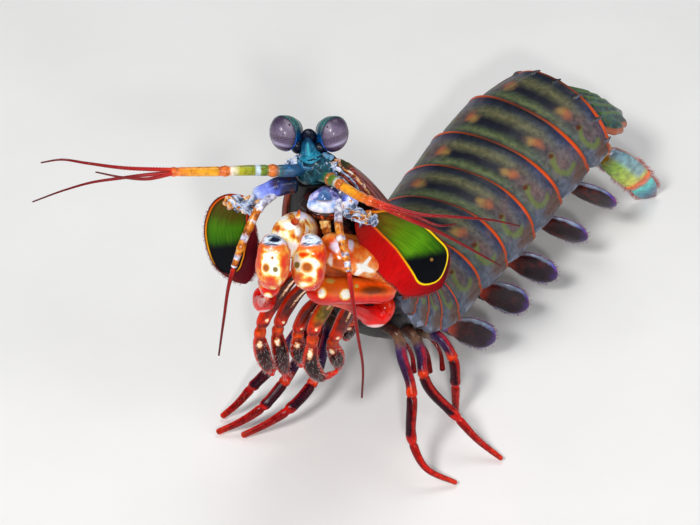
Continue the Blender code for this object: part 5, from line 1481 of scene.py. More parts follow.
def carpus_look(side):
    """Pale shell with orange clouds and brown-cored spots, a red foot and a grey knuckle. Its white is partly the pale
    colour and partly painted highlight; it also has painted lavender shade and painted highlight flecks.
    """
    look = Look("carpus_shell_" + side, rough=0.20, coat=0.2, coat_rough=0.06, shine=0.2)
    k, c, s = look.channels("place")
    spots, knuckle, patches = look.channels("mark")
    olive, seam, white = look.channels("tone")
    rise = look.calc("ADD", look.step(k, 0.46, 0.95, 0.0, 0.34),
                     look.step(look.calc("ABSOLUTE", c), 0.45, 1.0, 0.0, 0.16))
    cloud = look.calc("ADD", look.noise(0.38, 3.0), rise)
    cloud = look.calc("ADD", cloud, look.calc("MULTIPLY", patches, 0.30))
    # The white patches pull the clouds to the white end of the ramp, which is partly the shell's pale colour and partly
    # painted highlight.
    cloud = look.calc("SUBTRACT", cloud, look.calc("MULTIPLY", white, 0.26))
    colour = look.ramp(cloud, (
        (0.34, rgb(252, 248, 240)), (0.46, rgb(255, 248, 216)), (0.54, rgb(252, 216, 122)), (0.61, rgb(244, 150, 50)),
        (0.70, rgb(228, 92, 18)), (0.82, rgb(228, 50, 8)), (1.0, rgb(200, 14, 4))))
    # Painted shade: lavender clouds over the white parts.
    lavender_shade = look.calc("MULTIPLY", look.step(look.noise(0.7, 3.0), 0.54, 0.66, 0.0, 0.6), look.step(cloud, 0.52, 0.44))
    colour = look.mix(lavender_shade, colour, rgb(206, 188, 226))
    # Painted highlights: white flecks over the lower, redder part.
    highlight_flecks = look.calc("MULTIPLY", look.step(look.noise(1.1, 3.0), 0.60, 0.66), look.step(k, 0.62, 0.7))
    colour = look.mix(look.calc("MULTIPLY", highlight_flecks, 0.8), colour, rgb(255, 236, 214))
    colour = look.mix(look.step(spots, 0.26, 0.44, 0.0, 0.9), colour, rgb(255, 244, 200))
    colour = look.mix(look.edge(spots, 0.10, 0.20, 0.7), colour, rgb(226, 150, 54))
    colour = look.mix(look.step(look.stirred(spots, 0.16), 0.56, 0.72), colour, rgb(170, 84, 20))
    colour = look.mix(look.edge(olive, 0.14, 0.2), colour, rgb(132, 112, 46))
    edge = look.step(look.stirred(look.calc("ABSOLUTE", c), 0.14), 0.90, 1.0, 0.0, 0.8)
    colour = look.mix(edge, colour, rgb(216, 60, 10))
    colour = look.mix(look.edge(seam, 0.20, 0.45, 0.7), colour, rgb(226, 110, 36))
    wisp = look.noise(0.8, 4.0, stretch=(0.5, 1.4, 1.4))
    grey = look.ramp(wisp, ((0.34, rgb(60, 72, 96)), (0.44, rgb(150, 170, 196)), (0.52, rgb(236, 244, 255)),
                            (0.62, rgb(196, 212, 232)), (0.72, rgb(110, 120, 140))))
    navy = look.edge(look.calc("SUBTRACT", knuckle, 0.26 if side == "right" else 0.44), 0.08, 0.3, 1.2)
    grey = look.mix(navy, grey, rgb(12, 18, 44))
    colour = look.mix(look.edge(knuckle, 0.14, 0.45, 0.6), colour, grey)
    return look.finish(colour, look.noise(1.0, 4.0), 0.12, 0.35)


def merus_look(side):
    """Peach shell with pale streaks and a white star. The right one is mostly white."""
    look = Look("merus_shell_" + side, rough=0.22, coat=0.2, coat_rough=0.08, shine=0.2)
    k, c, s = look.channels("place")
    star, pale, brown = look.channels("mark")
    cloud = look.noise(0.4, 3.0)
    peach = look.ramp(cloud, ((0.3, rgb(214, 60, 6)), (0.45, rgb(236, 104, 24)), (0.58, rgb(240, 142, 62)),
                              (0.72, rgb(246, 190, 130))))
    if side == "right":
        peach = look.ramp(cloud, ((0.36, rgb(196, 70, 6)), (0.44, rgb(236, 150, 40)), (0.50, rgb(254, 226, 140)),
                                  (0.56, rgb(254, 248, 226)), (0.72, rgb(236, 226, 240))))
        peach = look.mix(look.step(k, 0.62, 0.4), peach, rgb(186, 70, 14))
    colour = look.mix(look.step(k, 0.3, 0.1), peach, rgb(150, 20, 4))
    colour = look.mix(look.edge(brown, 0.18, 0.5, 0.6), colour, rgb(190, 78, 10))
    colour = look.mix(look.edge(pale, 0.18, 0.6, 0.6), colour, rgb(236, 226, 246))
    colour = look.mix(look.step(star, 0.18, 0.5, 0.0, 0.7), colour, rgb(252, 206, 150))
    colour = look.mix(look.edge(star, 0.10, 0.34, 0.8), colour, rgb(255, 253, 246))
    return look.finish(colour, look.noise(1.0, 4.0), 0.12, 0.35)


def propodus_look():
    """Orange-red bar with a brown stripe and a row of white spots below."""
    look = Look("propodus_shell", rough=0.15, coat=0.2, coat_rough=0.05, shine=0.18)
    k, c, s = look.channels("place")
    spots, stripe, green = look.channels("mark")
    level = look.stirred(look.calc("MULTIPLY_ADD", c, 0.5, 0.5), 0.12, 0.4)
    colour = look.ramp(level, ((0.0, rgb(190, 8, 2)), (0.18, rgb(226, 22, 2)), (0.36, rgb(248, 96, 6)),
                               (0.5, rgb(232, 84, 6)), (0.72, rgb(250, 96, 14)), (0.9, rgb(250, 140, 50)),
                               (1.0, rgb(226, 60, 14))))
    colour = look.mottle(colour, 0.15, 0.5)
    left_part = look.calc("MULTIPLY", look.step(k, 0.5, 0.4), look.step(level, 0.3, 0.4))
    colour = look.mix(look.calc("MULTIPLY", left_part, 0.6), colour, rgb(206, 96, 14))
    colour = look.mix(look.edge(stripe, 0.24, 0.24, 0.4), colour, rgb(120, 52, 4))
    colour = look.mix(look.edge(green, 0.2, 0.5, 0.9), colour, rgb(196, 176, 84))
    colour = look.mix(look.step(look.stirred(spots, 0.2, 0.5), 0.22, 0.46, 0.0, 0.95), colour, rgb(255, 196, 60))
    colour = look.mix(look.edge(spots, 0.12, 0.5, 1.1), colour, rgb(255, 253, 236))
    colour = look.mix(look.step(k, 0.10, 0.02, 0.0, 0.9), colour, rgb(206, 30, 8))
    return look.finish(colour, look.noise(0.9, 3.0), 0.08, 0.3)


def dactyl_look():
    """Red club with a pale pink lower edge."""
    look = Look("club_shell", rough=0.12, coat=0.25, coat_rough=0.04, shine=0.18)
    k, c, s = look.channels("place")
    pale = look.channels("mark")[0]
    colour = look.ramp(k, ((0.0, rgb(226, 40, 4)), (0.3, rgb(232, 16, 4)), (0.55, rgb(216, 8, 6)),
                           (0.8, rgb(186, 6, 4)), (1.0, rgb(226, 110, 80))))
    colour = look.mottle(colour, 0.15, 0.5)
    colour = look.mix(look.step(look.stirred(pale, 0.12), 0.42, 0.62), colour, rgb(248, 196, 196))
    return look.finish(colour, look.noise(0.8, 3.0), 0.06, 0.3)


# Spots and patches of the claws, the carpus whites partly painted highlight: x, y, z, half width and half height
CARPUS_SPOTS = {
    "left": ((-0.7, -26.2, 65.8, 1.2, 1.15),),
    "right": ((-8.9, -30.7, 69.7, 0.75, 0.95), (-7.6, -30.0, 71.8, 0.3, 0.35)),
}
CARPUS_OLIVE = {"left": ((-2.8, -25.3, 65.6, 0.6, 0.7),), "right": ((-7.0, -31.1, 69.6, 0.55, 0.6),)}
CARPUS_PATCHES = {
    "left": ((1.2, -25.0, 67.9, 0.9, 0.8), (2.7, -24.4, 66.6, 0.7, 1.3), (1.9, -25.7, 63.5, 0.7, 1.0),
             (-0.2, -26.0, 62.0, 1.1, 0.5), (-2.4, -25.6, 61.9, 1.0, 0.9), (-1.2, -25.4, 68.6, 0.8, 0.3)),
    "right": ((-5.6, -30.1, 71.1, 0.6, 1.7), (-8.9, -29.4, 72.9, 0.7, 0.3), (-6.4, -29.4, 73.0, 0.9, 0.35),
              (-8.2, -30.8, 66.4, 1.4, 0.9), (-10.0, -29.8, 69.0, 0.5, 1.8)),
}
# White patches of the carpus, partly the shell's pale colour and partly painted highlight.
CARPUS_WHITE_AND_HIGHLIGHT = {
    "left": ((-1.0, -26.0, 66.2, 2.0, 2.0), (0.8, -26.0, 64.6, 0.6, 1.4), (3.0, -24.0, 63.8, 0.6, 1.0),
             (-1.6, -25.0, 59.8, 0.9, 0.4)),
    "right": ((-7.8, -30.6, 70.2, 1.7, 2.2), (-6.2, -30.0, 65.0, 0.3, 1.4), (-7.6, -29.4, 63.0, 0.6, 0.4)),
}
KNUCKLE = {"left": ((0.2, -22.6, 70.1, 2.7, 1.25),), "right": ((-7.1, -27.4, 74.4, 2.6, 1.25),)}
KNUCKLE_SEAM = {"left": ((0.2, -23.2, 69.8, 3.2, 1.7),), "right": ((-7.1, -28.0, 74.0, 3.1, 1.65),)}
MERUS_STARS = {
    "left": ((10.7, -18.0, 58.3, 1.15, 0.8), (7.9, -17.6, 67.0, 0.7, 0.7)),
    "right": ((-4.2, -21.6, 73.1, 1.5, 0.8), (-2.6, -21.0, 71.0, 0.6, 0.9), (-5.6, -19.0, 73.0, 0.9, 0.6)),
}
MERUS_ARMS = {
    "left": (
        ((10.7, -18.0, 58.3), (12.3, -16.4, 59.6), 0.75), ((10.7, -18.0, 58.3), (13.3, -16.0, 55.2), 0.95),
        ((10.7, -18.0, 58.3), (8.9, -17.2, 54.6), 0.9), ((10.7, -18.0, 58.3), (8.8, -19.0, 60.8), 0.75),
        ((3.9, -20.6, 62.6), (4.4, -19.8, 57.6), 0.55), ((4.4, -19.8, 57.6), (8.4, -17.4, 54.6), 0.45),
        ((3.9, -20.6, 62.6), (6.6, -19.6, 63.0), 0.4),
    ),
    "right": (),
}
MERUS_PALE = {
    "left": ((8.3, -16.7, 63.5, 0.6, 1.3), (5.2, -18.7, 65.0, 1.1, 1.3), (4.1, -20.1, 62.4, 0.4, 1.3),
             (6.6, -18.0, 66.6, 0.9, 0.5)),
    "right": ((-2.2, -14.6, 70.0, 1.6, 1.0), (-0.6, -12.0, 66.0, 1.2, 1.0)),
}
MERUS_BROWN = {
    "left": ((5.9, -20.4, 61.7, 1.4, 1.0), (3.0, -18.6, 65.8, 0.8, 0.8), (7.2, -14.6, 66.4, 1.6, 0.8)),
    "right": ((-6.8, -22.0, 72.8, 0.9, 0.8), (-2.8, -20.6, 71.9, 0.45, 0.45), (-4.4, -17.6, 73.0, 0.8, 0.5)),
}
PROPODUS_SPOTS = {
    "left": ((2.2, -22.4, 55.1, 0.75, 0.95), (7.2, -18.6, 51.1, 1.1, 0.95), (0.6, -23.4, 57.0, 0.3, 0.4)),
    "right": ((-9.0, -25.6, 57.0, 0.7, 0.7), (-8.6, -21.6, 54.0, 0.8, 0.8)),
}
PROPODUS_STRIPE = {"left": ((13.0, -13.6, 47.7, 4.2, 0.95),), "right": ((-9.0, -21.0, 57.0, 1.2, 2.0),)}
PROPODUS_GREEN = {"left": ((3.9, -18.8, 55.2, 0.9, 0.5), (9.6, -15.6, 50.8, 0.5, 0.4)), "right": ()}
CLUB_PALE = {"left": ((13.6, -9.6, 33.0, 3.0, 0.9),), "right": ((-10.2, -16.4, 44.2, 1.8, 0.6),)}


def build_claws():
    looks = {"propodus": propodus_look(), "dactyl": dactyl_look()}
    for side, articles in CLAWS.items():
        looks["merus"], looks["carpus"] = merus_look(side), carpus_look(side)
        for article, rows in articles.items():
            points, tall, wide = zip(*rows)
            up = (1.0, 0.0, 0.0) if article == "carpus" else IMAGE_UP
            shape = Shape()
            form, marks = claw_details(article, side)
            limb(shape, points, tall, wide, up, 110, 72, form, marks)
            name = "raptorial_%s_%s" % (article, side)
            if article == "merus":
                claw_fittings(shape, side)
            piece(name + "_skin", shape, looks[article], "claw", name)


def claw_details(article, side):
    """The sculpted form and the colour fields of one article of a claw: stains, and on the carpus white patches that
    are partly painted highlight.
    """
    def form(k, c, s):
        if article == "merus":
            lower = 0.14 * bump_at(c, -0.9, 0.6) * ease(k, 1.4, 2.4) * ease(k, 4.9, 4.0)
            return 1 + lower + 0.07 * bump_at(c, 0.9, 0.5) - 0.04 * bump_at(c, 0.1, 0.2) * ease(k, 1.5, 3)
        if article == "carpus":
            edges = 0.05 * bump_at(np.abs(c), 0.55, 0.14) * ease(k, 0.8, 1.6)
            taper = (0.22 if side == "right" else 0.12) * ease(k, 2.3, 3.9)
            return 1 + edges - 0.06 * bump_at(k, 1.15, 0.12) - taper
        if article == "propodus":
            groove = 0.07 * bump_at(c, -0.45, 0.14)
            return 1 - groove * ease(k, 0.8, 1.6) + 0.04 * bump_at(k, 4.4, 0.3)
        return 1 + 0.04 * bump_at(c, 0.8, 0.3) - 0.05 * bump_at(k, 3.1, 0.25)

    def marks(k, c, s, grid):
        zero = 0 * k
        tone = (zero, zero, zero)
        if article == "merus":
            star = np.maximum(near(grid, MERUS_STARS[side]), strokes(grid, MERUS_ARMS[side]))
            mark = (star, near(grid, MERUS_PALE[side]), near(grid, MERUS_BROWN[side]))
        elif article == "carpus":
            mark = (near(grid, CARPUS_SPOTS[side]), near(grid, KNUCKLE[side]), near(grid, CARPUS_PATCHES[side]))
            tone = (near(grid, CARPUS_OLIVE[side]), near(grid, KNUCKLE_SEAM[side]), near(grid, CARPUS_WHITE_AND_HIGHLIGHT[side]))
        elif article == "propodus":
            mark = (near(grid, PROPODUS_SPOTS[side]), near(grid, PROPODUS_STRIPE[side]),
                    near(grid, PROPODUS_GREEN[side]))
        else:
            mark = (near(grid, CLUB_PALE[side]), zero, zero)
        return np.stack(mark, -1), np.stack(tone, -1)

    return form, marks


def claw_fittings(shape, side):
    """The short spine at the wrist end of the merus."""
    if side == "right":
        limb(shape, ((-3.6, -20.6, 72.6), (-2.6, -20.4, 74.4), (-2.2, -20.2, 76.2)), (0.9, 0.55, 0.15),
             (0.8, 0.5, 0.15), (1, 0, 0), 24, 16)
    else:
        limb(shape, ((2.6, -20.4, 66.8), (0.8, -20.6, 67.2), (-0.8, -20.8, 67.4)), (0.9, 0.55, 0.2),
             (0.8, 0.5, 0.2), (0, 0, 1), 24, 16)


# Maxillipeds three to five
MAXILLIPEDS = {
    "right": (
        ((-2.0, -8.5, 50.0), (-4.8, -9.0, 46.8), (-8.0, -9.4, 41.6), (-10.8, -11.0, 36.7),
         (-11.8, -12.0, 33.1), (-11.4, -12.0, 27.2), (-10.2, -11.0, 21.5), (-9.3, -10.0, 18.3)),
        ((1.0, -8.0, 46.5), (-2.5, -8.0, 43.0), (-5.6, -8.0, 38.1), (-7.2, -8.8, 34.4),
         (-8.0, -9.0, 31.3), (-7.6, -8.8, 24.5), (-6.8, -7.8, 17.5), (-6.0, -7.0, 13.6)),
        ((4.0, -6.0, 42.5), (1.6, -6.0, 38.4), (-1.4, -6.2, 34.2), (-3.2, -6.6, 30.4),
         (-3.6, -6.6, 27.4), (-3.6, -6.2, 22.0), (-3.2, -5.2, 18.2), (-3.0, -4.8, 15.6)),
    ),
    "left": (
        ((5.4, -9.0, 46.0), (4.6, -10.0, 43.6), (2.6, -10.4, 39.6), (0.2, -12.0, 35.0),
         (-0.2, -12.6, 31.6), (-0.4, -12.2, 23.2), (2.2, -10.8, 18.4), (5.4, -9.2, 18.8)),
        ((9.0, -8.4, 42.4), (8.4, -8.8, 39.6), (6.8, -8.4, 34.4), (5.0, -8.2, 29.2),
         (4.2, -7.8, 26.4), (5.0, -6.6, 21.2), (5.4, -5.8, 17.4), (5.4, -5.2, 15.0)),
        ((12.4, -6.4, 38.8), (11.8, -6.0, 36.4), (10.2, -5.0, 33.6), (8.8, -4.4, 31.0),
         (8.2, -4.0, 29.2), (7.8, -3.4, 26.2), (7.4, -3.0, 23.8), (7.2, -2.6, 22.0)),
    ),
}
MAXILLIPED_WIDE = (1.4, 1.5, 1.8, 1.5, 1.4, 1.9, 1.3, 0.5)


def maxilliped_look(name, upper, middle):
    """Dark see-through shell with orange edges, and painted highlights: white glints with orange halos."""
    look = Look(name, rough=0.18, coat=0.2, coat_rough=0.05, shine=0.15)
    k, c, s = look.channels("place")
    spots = look.channels("mark")[0]
    k = look.stirred(k, 0.08, 0.5)
    colour = look.ramp(k, (
        (0.0, rgb(40, 6, 4)), (0.14, upper), (0.34, middle), (0.42, rgb(190, 34, 4)), (0.48, rgb(110, 12, 4)),
        (0.55, rgb(214, 70, 8)), (0.60, rgb(120, 8, 4)), (0.68, rgb(34, 2, 6)), (0.82, rgb(60, 3, 6)),
        (0.88, rgb(176, 10, 4)), (1.0, rgb(236, 30, 4))))
    colour = look.mottle(colour, 0.5, 0.7)
    outline = look.step(look.stirred(look.calc("ABSOLUTE", c), 0.4, 0.6, 2.0), 0.62, 0.95, 0.0, 0.85)
    colour = look.mix(outline, colour, rgb(216, 44, 4))
    # Painted highlights: white glints with orange halos where the spots field is high.
    colour = look.mix(look.step(look.stirred(spots, 0.5, 0.8), 0.1, 0.6, 0.0, 0.8), colour, rgb(240, 130, 30))
    colour = look.mix(look.edge(spots, 0.25, 1.5, 2.0), colour, rgb(255, 236, 204))
    return look.finish(colour, look.noise(1.2, 4.0), 0.12, 0.5)


def build_maxillipeds():
    red = maxilliped_look("maxilliped_red", rgb(58, 14, 6), rgb(96, 16, 6))
    olive = maxilliped_look("maxilliped_olive", rgb(96, 50, 10), rgb(120, 96, 20))
    tuft = setae_look("maxilliped_setae", rgb(196, 170, 160), rgb(236, 236, 240))
    for side, limbs in MAXILLIPEDS.items():
        for number, knots in zip((3, 4, 5), limbs):
            wide = np.array(MAXILLIPED_WIDE)

            def form(k, c, s):
                waist = 0.22 * bump_at(k, 3.55, 0.16) + 0.12 * bump_at(k, 4.15, 0.10) + 0.25 * bump_at(k, 6.15, 0.14)
                return 1 - waist + 0.06 * bump_at(k, 3.1, 0.25)

            def marks(k, c, s, grid):
                # Painted glints: fields at the knee, on the upper part and at a small spot, on the front face.
                joint = 1 - np.hypot((k - 4.35) / 0.12, (c + 0.25) / 0.30) / 2
                upper = 1 - np.hypot((k - 1.0) / 0.6, (c - 0.05) / 0.16) / 2
                small_glint = 1 - np.hypot((k - 2.95) / 0.08, (c - 0.1) / 0.20) / 2
                field = np.maximum(np.maximum(joint, upper), small_glint) * (s > 0)
                return np.stack((field, 0 * k, 0 * k), -1), None

            shape = Shape()
            grid, centres, _, _ = limb(shape, knots, wide, 0.8 * wide, (1.0, 0.2, 0.0), 120, 32, form, marks)
            name = "maxilliped_%d_%s" % (number, side)
            look = olive if (side == "left" and number == 3) else red
            piece(name + "_skin", shape, look, "leg", name)
            brush(name, grid, number * 3 + len(side), tuft)


def brush(name, grid, seed, look):
    """Short cleaning hairs over the last part of a maxilliped."""
    rng = np.random.default_rng(seed)
    rows = len(grid)
    count = 260
    i = (rng.uniform(0.60, 0.93, count) * rows).astype(int)
    j = rng.integers(0, grid.shape[1], count)
    roots = grid[i, j]
    out = unit(roots - grid[i].mean(1))
    ahead = unit(grid[np.minimum(i + 3, rows - 1)].mean(1) - grid[i].mean(1))
    ways = out + ahead * 0.6 + rng.normal(size=(count, 3)) * 0.25
    shape = Shape()
    hairs(shape, roots - out * 0.05, ways, rng.uniform(0.35, 0.9, count), 0.035,
          np.stack((i / rows, j / grid.shape[1]), -1), seed=seed)
    piece(name + "_hairs", shape, look, "leg")


LEGS = {
    "right": (
        ((6.5, 1.0, 26.5), (1.6, 3.4, 27.0), (-3.6, 1.4, 21.4), (-9.8, -2.6, 13.6),
         (-10.8, -3.1, 12.6), (-14.6, -4.2, 8.4), (-18.1, -5.2, 4.0), (-21.9, -6.2, -0.9)),
        ((9.5, 4.0, 22.5), (3.0, 6.4, 23.0), (-1.0, 2.8, 18.4), (-6.6, -5.2, 12.1),
         (-7.6, -6.0, 11.0), (-11.9, -9.1, 7.1), (-17.2, -10.2, 3.2), (-22.8, -11.1, -0.9)),
        ((12.0, 8.6, 18.0), (4.6, 9.8, 18.6), (2.6, 5.2, 14.6), (-0.4, -3.6, 9.8),
         (-1.2, -4.8, 9.2), (-6.2, -9.6, 6.4), (-11.3, -11.0, 3.2), (-17.0, -12.2, -0.9)),
    ),
    "left": (
        ((14.5, -2.6, 27.6), (18.6, -5.6, 26.8), (19.8, -10.6, 24.4), (21.8, -17.0, 20.8),
         (21.9, -18.6, 19.2), (22.1, -23.3, 10.4), (24.9, -26.1, 5.2), (32.2, -26.8, -0.9)),
        ((17.0, 1.6, 23.6), (22.4, -1.4, 22.6), (24.2, -5.6, 20.8), (24.6, -9.2, 18.6),
         (25.0, -10.0, 17.2), (32.5, -14.6, 9.2), (37.2, -17.0, 4.4), (42.9, -19.5, -0.9)),
        ((19.4, 6.8, 18.4), (25.6, 4.2, 17.8), (28.6, 1.0, 19.4), (31.4, -2.0, 16.8),
         (31.9, -2.8, 15.6), (32.4, -4.6, 9.8), (32.6, -5.6, 4.2), (32.7, -6.1, -0.9)),
    ),
}
LEG_THICK = (1.2, 1.4, 1.35, 1.25, 1.3, 1.1, 0.85, 0.6)
EXOPOD_REACH = (4.0, -5.5, -7.0)
EXOPOD_BOW = (1.2, 0.0, 0.6)
TOE_LIFT = 0.55


def leg_look():
    """Violet-grey thigh, orange knee, dark shin and bright red foot."""
    look = Look("leg_shell", rough=0.24, coat=0.1, coat_rough=0.1, shine=0.15)
    k, c, s = look.channels("place")
    tag = look.channels("tone")[0]
    k = look.stirred(k, 0.07, 0.5)
    colour = look.ramp(k, (
        (0.0, rgb(44, 20, 30)), (0.13, rgb(72, 44, 34)), (0.2, rgb(122, 92, 72)), (0.25, rgb(60, 44, 84)),
        (0.40, rgb(50, 16, 48)), (0.44, rgb(220, 60, 6)), (0.52, rgb(190, 36, 4)), (0.56, rgb(56, 3, 14)),
        (0.69, rgb(38, 2, 20)), (0.71, rgb(190, 14, 4)), (0.74, rgb(150, 4, 4)), (0.9, rgb(170, 4, 2)),
        (1.0, rgb(226, 50, 10))))
    edge_place = look.stirred(look.calc("ABSOLUTE", c), 0.3, 0.5, 2.0)
    glow = look.calc("MULTIPLY", look.step(edge_place, 0.74, 0.97, 0.0, 0.55), look.step(k, 0.2, 0.3))
    colour = look.mix(glow, colour, rgb(190, 26, 6))
    belt = look.calc("MULTIPLY", look.step(look.calc("ABSOLUTE", s), 0.5, 0.9, 0.0, 0.6), look.step(k, 0.70, 0.76))
    colour = look.mix(belt, colour, rgb(90, 2, 6))
    colour = look.mix(look.step(tag, 0.4, 0.6), colour, rgb(110, 6, 8))
    colour = look.mottle(colour, 0.35, 0.9)
    return look.finish(colour, look.noise(1.4, 4.0), 0.12, 0.5)


def build_legs():
    look = leg_look()
    tuft = setae_look("leg_setae", rgb(160, 60, 40), rgb(206, 150, 130))
    for side, legs in LEGS.items():
        sign = 1.0 if side == "left" else -1.0
        for number, knots in zip((1, 2, 3), legs):
            name = "walking_leg_%d_%s" % (number, side)
            knots = np.array(knots)
            knots[-1, 2] += 0.9 + TOE_LIFT

            def form(k, c, s):
                swell = 0.10 * bump_at(k, 3.3, 0.25) + 0.14 * bump_at(k, 4.86, 0.12)
                waist = 0.18 * bump_at(k, 3.75, 0.10) + 0.20 * bump_at(k, 5.06, 0.06) + 0.14 * bump_at(k, 1.15, 0.1)
                return 1 + swell - waist

            shape = Shape()
            flat = np.array(LEG_THICK) * np.array((1, 1, 1, 1, 1, 1.05, 1.05, 1.2))
            grid, _, _, _ = limb(shape, knots, flat, np.array(LEG_THICK) * 0.9, (0.0, 0.3, 1.0), 140, 32, form)
            hip = knots[1]
            tip = hip + np.array(EXOPOD_REACH) * (sign, 1, 1)
            bow = np.array(EXOPOD_BOW) * (sign, 1, 1)
            limb(shape, (hip, (hip + tip) / 2 + bow, tip), (0.5, 0.45, 0.7), (0.45, 0.35, 0.3), (1, 0, 0), 50, 16,
                 tag=1.0)
            piece(name + "_skin", shape, look, "leg", name)
            foot_hairs(name, grid, number + 10 * len(side), tuft)


def foot_hairs(name, grid, seed, look):
    rng = np.random.default_rng(seed)
    rows = len(grid)
    count = 160
    i = (rng.uniform(0.72, 0.95, count) * rows).astype(int)
    j = rng.integers(0, grid.shape[1], count)
    roots = grid[i, j]
    out = unit(roots - grid[i].mean(1))
    ahead = unit(grid[np.minimum(i + 3, rows - 1)].mean(1) - grid[i].mean(1))
    keep = roots[:, 2] > 1.2
    shape = Shape()
    ways = out * 0.6 + ahead + rng.normal(size=(count, 3)) * 0.15
    hairs(shape, (roots - out * 0.05)[keep], ways[keep], rng.uniform(0.3, 0.6, count)[keep], 0.03,
          np.stack((i / rows, j / grid.shape[1]), -1)[keep], seed=seed)
    piece(name + "_hairs", shape, look, "leg")


# Swimming legs: share of half width, up, tailward, half width, half thickness
PLEOPOD_STEM = ((0.42, -4.4, -1.0, 1.7, 1.4), (0.56, -6.4, -0.6, 1.8, 1.4), (0.68, -8.2, 0.0, 1.6, 1.2))
PLEOPOD_OUTER = (
    (0.64, -7.4, -0.4, 1.8, 0.9), (0.82, -7.9, 0.3, 3.9, 1.0),
    (1.02, -9.1, 1.4, 4.7, 0.9), (1.20, -10.5, 2.3, 3.9, 0.7), (1.31, -11.3, 2.9, 1.6, 0.5),
)
PLEOPOD_INNER = ((0.62, -7.6, 0.2, 1.6, 0.8), (0.66, -10.0, 1.4, 3.2, 0.8), (0.68, -12.6, 2.6, 1.4, 0.5))
PLEOPOD_PLACE = (0.5, 0.85, 0.85, 0.85, 0.85)


def rows_to_limb(shape, place, rows, unit_width, sign, side, rings=50, sides=28, **more):
    """A limb from rows measured in a station on one side of the body."""
    points = [place.at(sign * row[0] * unit_width, row[1], row[2]) for row in rows]
    return limb(shape, points, [row[3] for row in rows], [row[4] for row in rows], side, rings, sides, **more)


def pleopod_look():
    """Nearly black lobe with an orange root and a rim, partly its own orange and purple edge and partly a painted pale
    blue highlight.
    """
    look = Look("swimming_leg", rough=0.3, coat=0.3, shine=0.25)
    k, c, s = look.channels("place")
    tag = look.channels("tone")[0]
    soft = look.stirred(k, 0.2, 0.3)
    colour = look.ramp(soft, (
        (0.0, rgb(196, 76, 24)), (0.12, rgb(150, 40, 12)), (0.24, rgb(60, 14, 14)), (0.42, rgb(24, 8, 18)),
        (0.75, rgb(26, 6, 26)), (1.0, rgb(60, 24, 110))))
    ember = look.calc("MULTIPLY", look.step(look.noise(0.25, 3.0), 0.48, 0.68), look.step(k, 0.8, 0.4, 0.0, 0.5))
    colour = look.mix(ember, colour, rgb(120, 30, 14))
    stem = look.ramp(k, ((0.0, rgb(180, 96, 44)), (0.4, rgb(120, 40, 20)), (1.0, rgb(150, 24, 14))))
    colour = look.mix(look.step(tag, 0.4, 0.6), colour, stem)
    # The rim is partly the lobe's own orange and purple edge and partly painted highlight, the pale blue stops.
    rim = look.step(look.stirred(look.calc("ABSOLUTE", c), 0.3, 0.4, 2.0), 0.78, 0.95)
    rim_tone = look.ramp(soft, ((0.1, rgb(214, 80, 24)), (0.3, rgb(150, 160, 180)), (0.6, rgb(140, 160, 190)),
                                (0.8, rgb(90, 66, 196)), (1.0, rgb(150, 30, 50))))
    colour = look.mix(look.calc("MULTIPLY", rim, 0.7), colour, rim_tone)
    veins = look.step(look.calc("PINGPONG", look.calc("MULTIPLY", c, 4.0), 0.5), 0.42, 0.5, 0.0, 0.3)
    colour = look.mix(veins, colour, rgb(110, 20, 26))
    colour = look.mottle(colour, 0.35, 0.6)
    return look.finish(colour, look.noise(1.4, 4.0), 0.15, 0.6)


def blade_fringe(shape, grid, seed, count, length, u_low=0.25):
    """Hairs along both edges of a flat limb."""
    rng = np.random.default_rng(seed)
    rows, sides = grid.shape[:2]
    i = (rng.uniform(u_low, 0.97, count) * rows).astype(int)
    j = np.where(rng.random(count) < 0.5, 0, sides // 2)
    roots = grid[i, j]
    out = unit(roots - grid[i].mean(1))
    ahead = unit(grid[np.minimum(i + 3, rows - 1)].mean(1) - grid[np.maximum(i - 3, 0)].mean(1))
    ways = out + ahead * 1.1 + rng.normal(size=(count, 3)) * 0.12
    hairs(shape, roots - out * 0.05, ways, rng.uniform(0.6, 1.0, count) * length, 0.045,
          np.stack((i / rows, j / sides + 0.02), -1), seed=seed)


def build_pleopods(planes):
    look = pleopod_look()
    tuft = setae_look("pleopod_setae", rgb(120, 40, 50), rgb(150, 120, 170))
    front = planes["waist"]
    for number, (row, share) in enumerate(zip(ABDOMEN, PLEOPOD_PLACE), start=1):
        rear = planes[row[0]]
        place = blend(front, rear, share)
        back, left, up = place.axes
        for side, sign in (("left", 1.0), ("right", -1.0)):
            name = "pleopod_%d_%s" % (number, side)
            shape, fringe = Shape(), Shape()
            half = place.width / 2
            rows_to_limb(shape, place, PLEOPOD_STEM, half, sign, back, 30, 24, tag=1.0)
            grid = rows_to_limb(shape, place, PLEOPOD_OUTER, half, sign, left * sign * 0.6 + up * 0.8, 60, 32)[0]
            blade_fringe(fringe, grid, number * 7 + int(sign), 220, 1.3)
            grid = rows_to_limb(shape, place, PLEOPOD_INNER, half, sign, left, 40, 28)[0]
            blade_fringe(fringe, grid, number * 9 + int(sign) + 40, 140, 1.1)
            piece(name + "_skin", shape, look, "pleopod", name)
            piece(name + "_hairs", fringe, tuft, "pleopod")
        front = rear


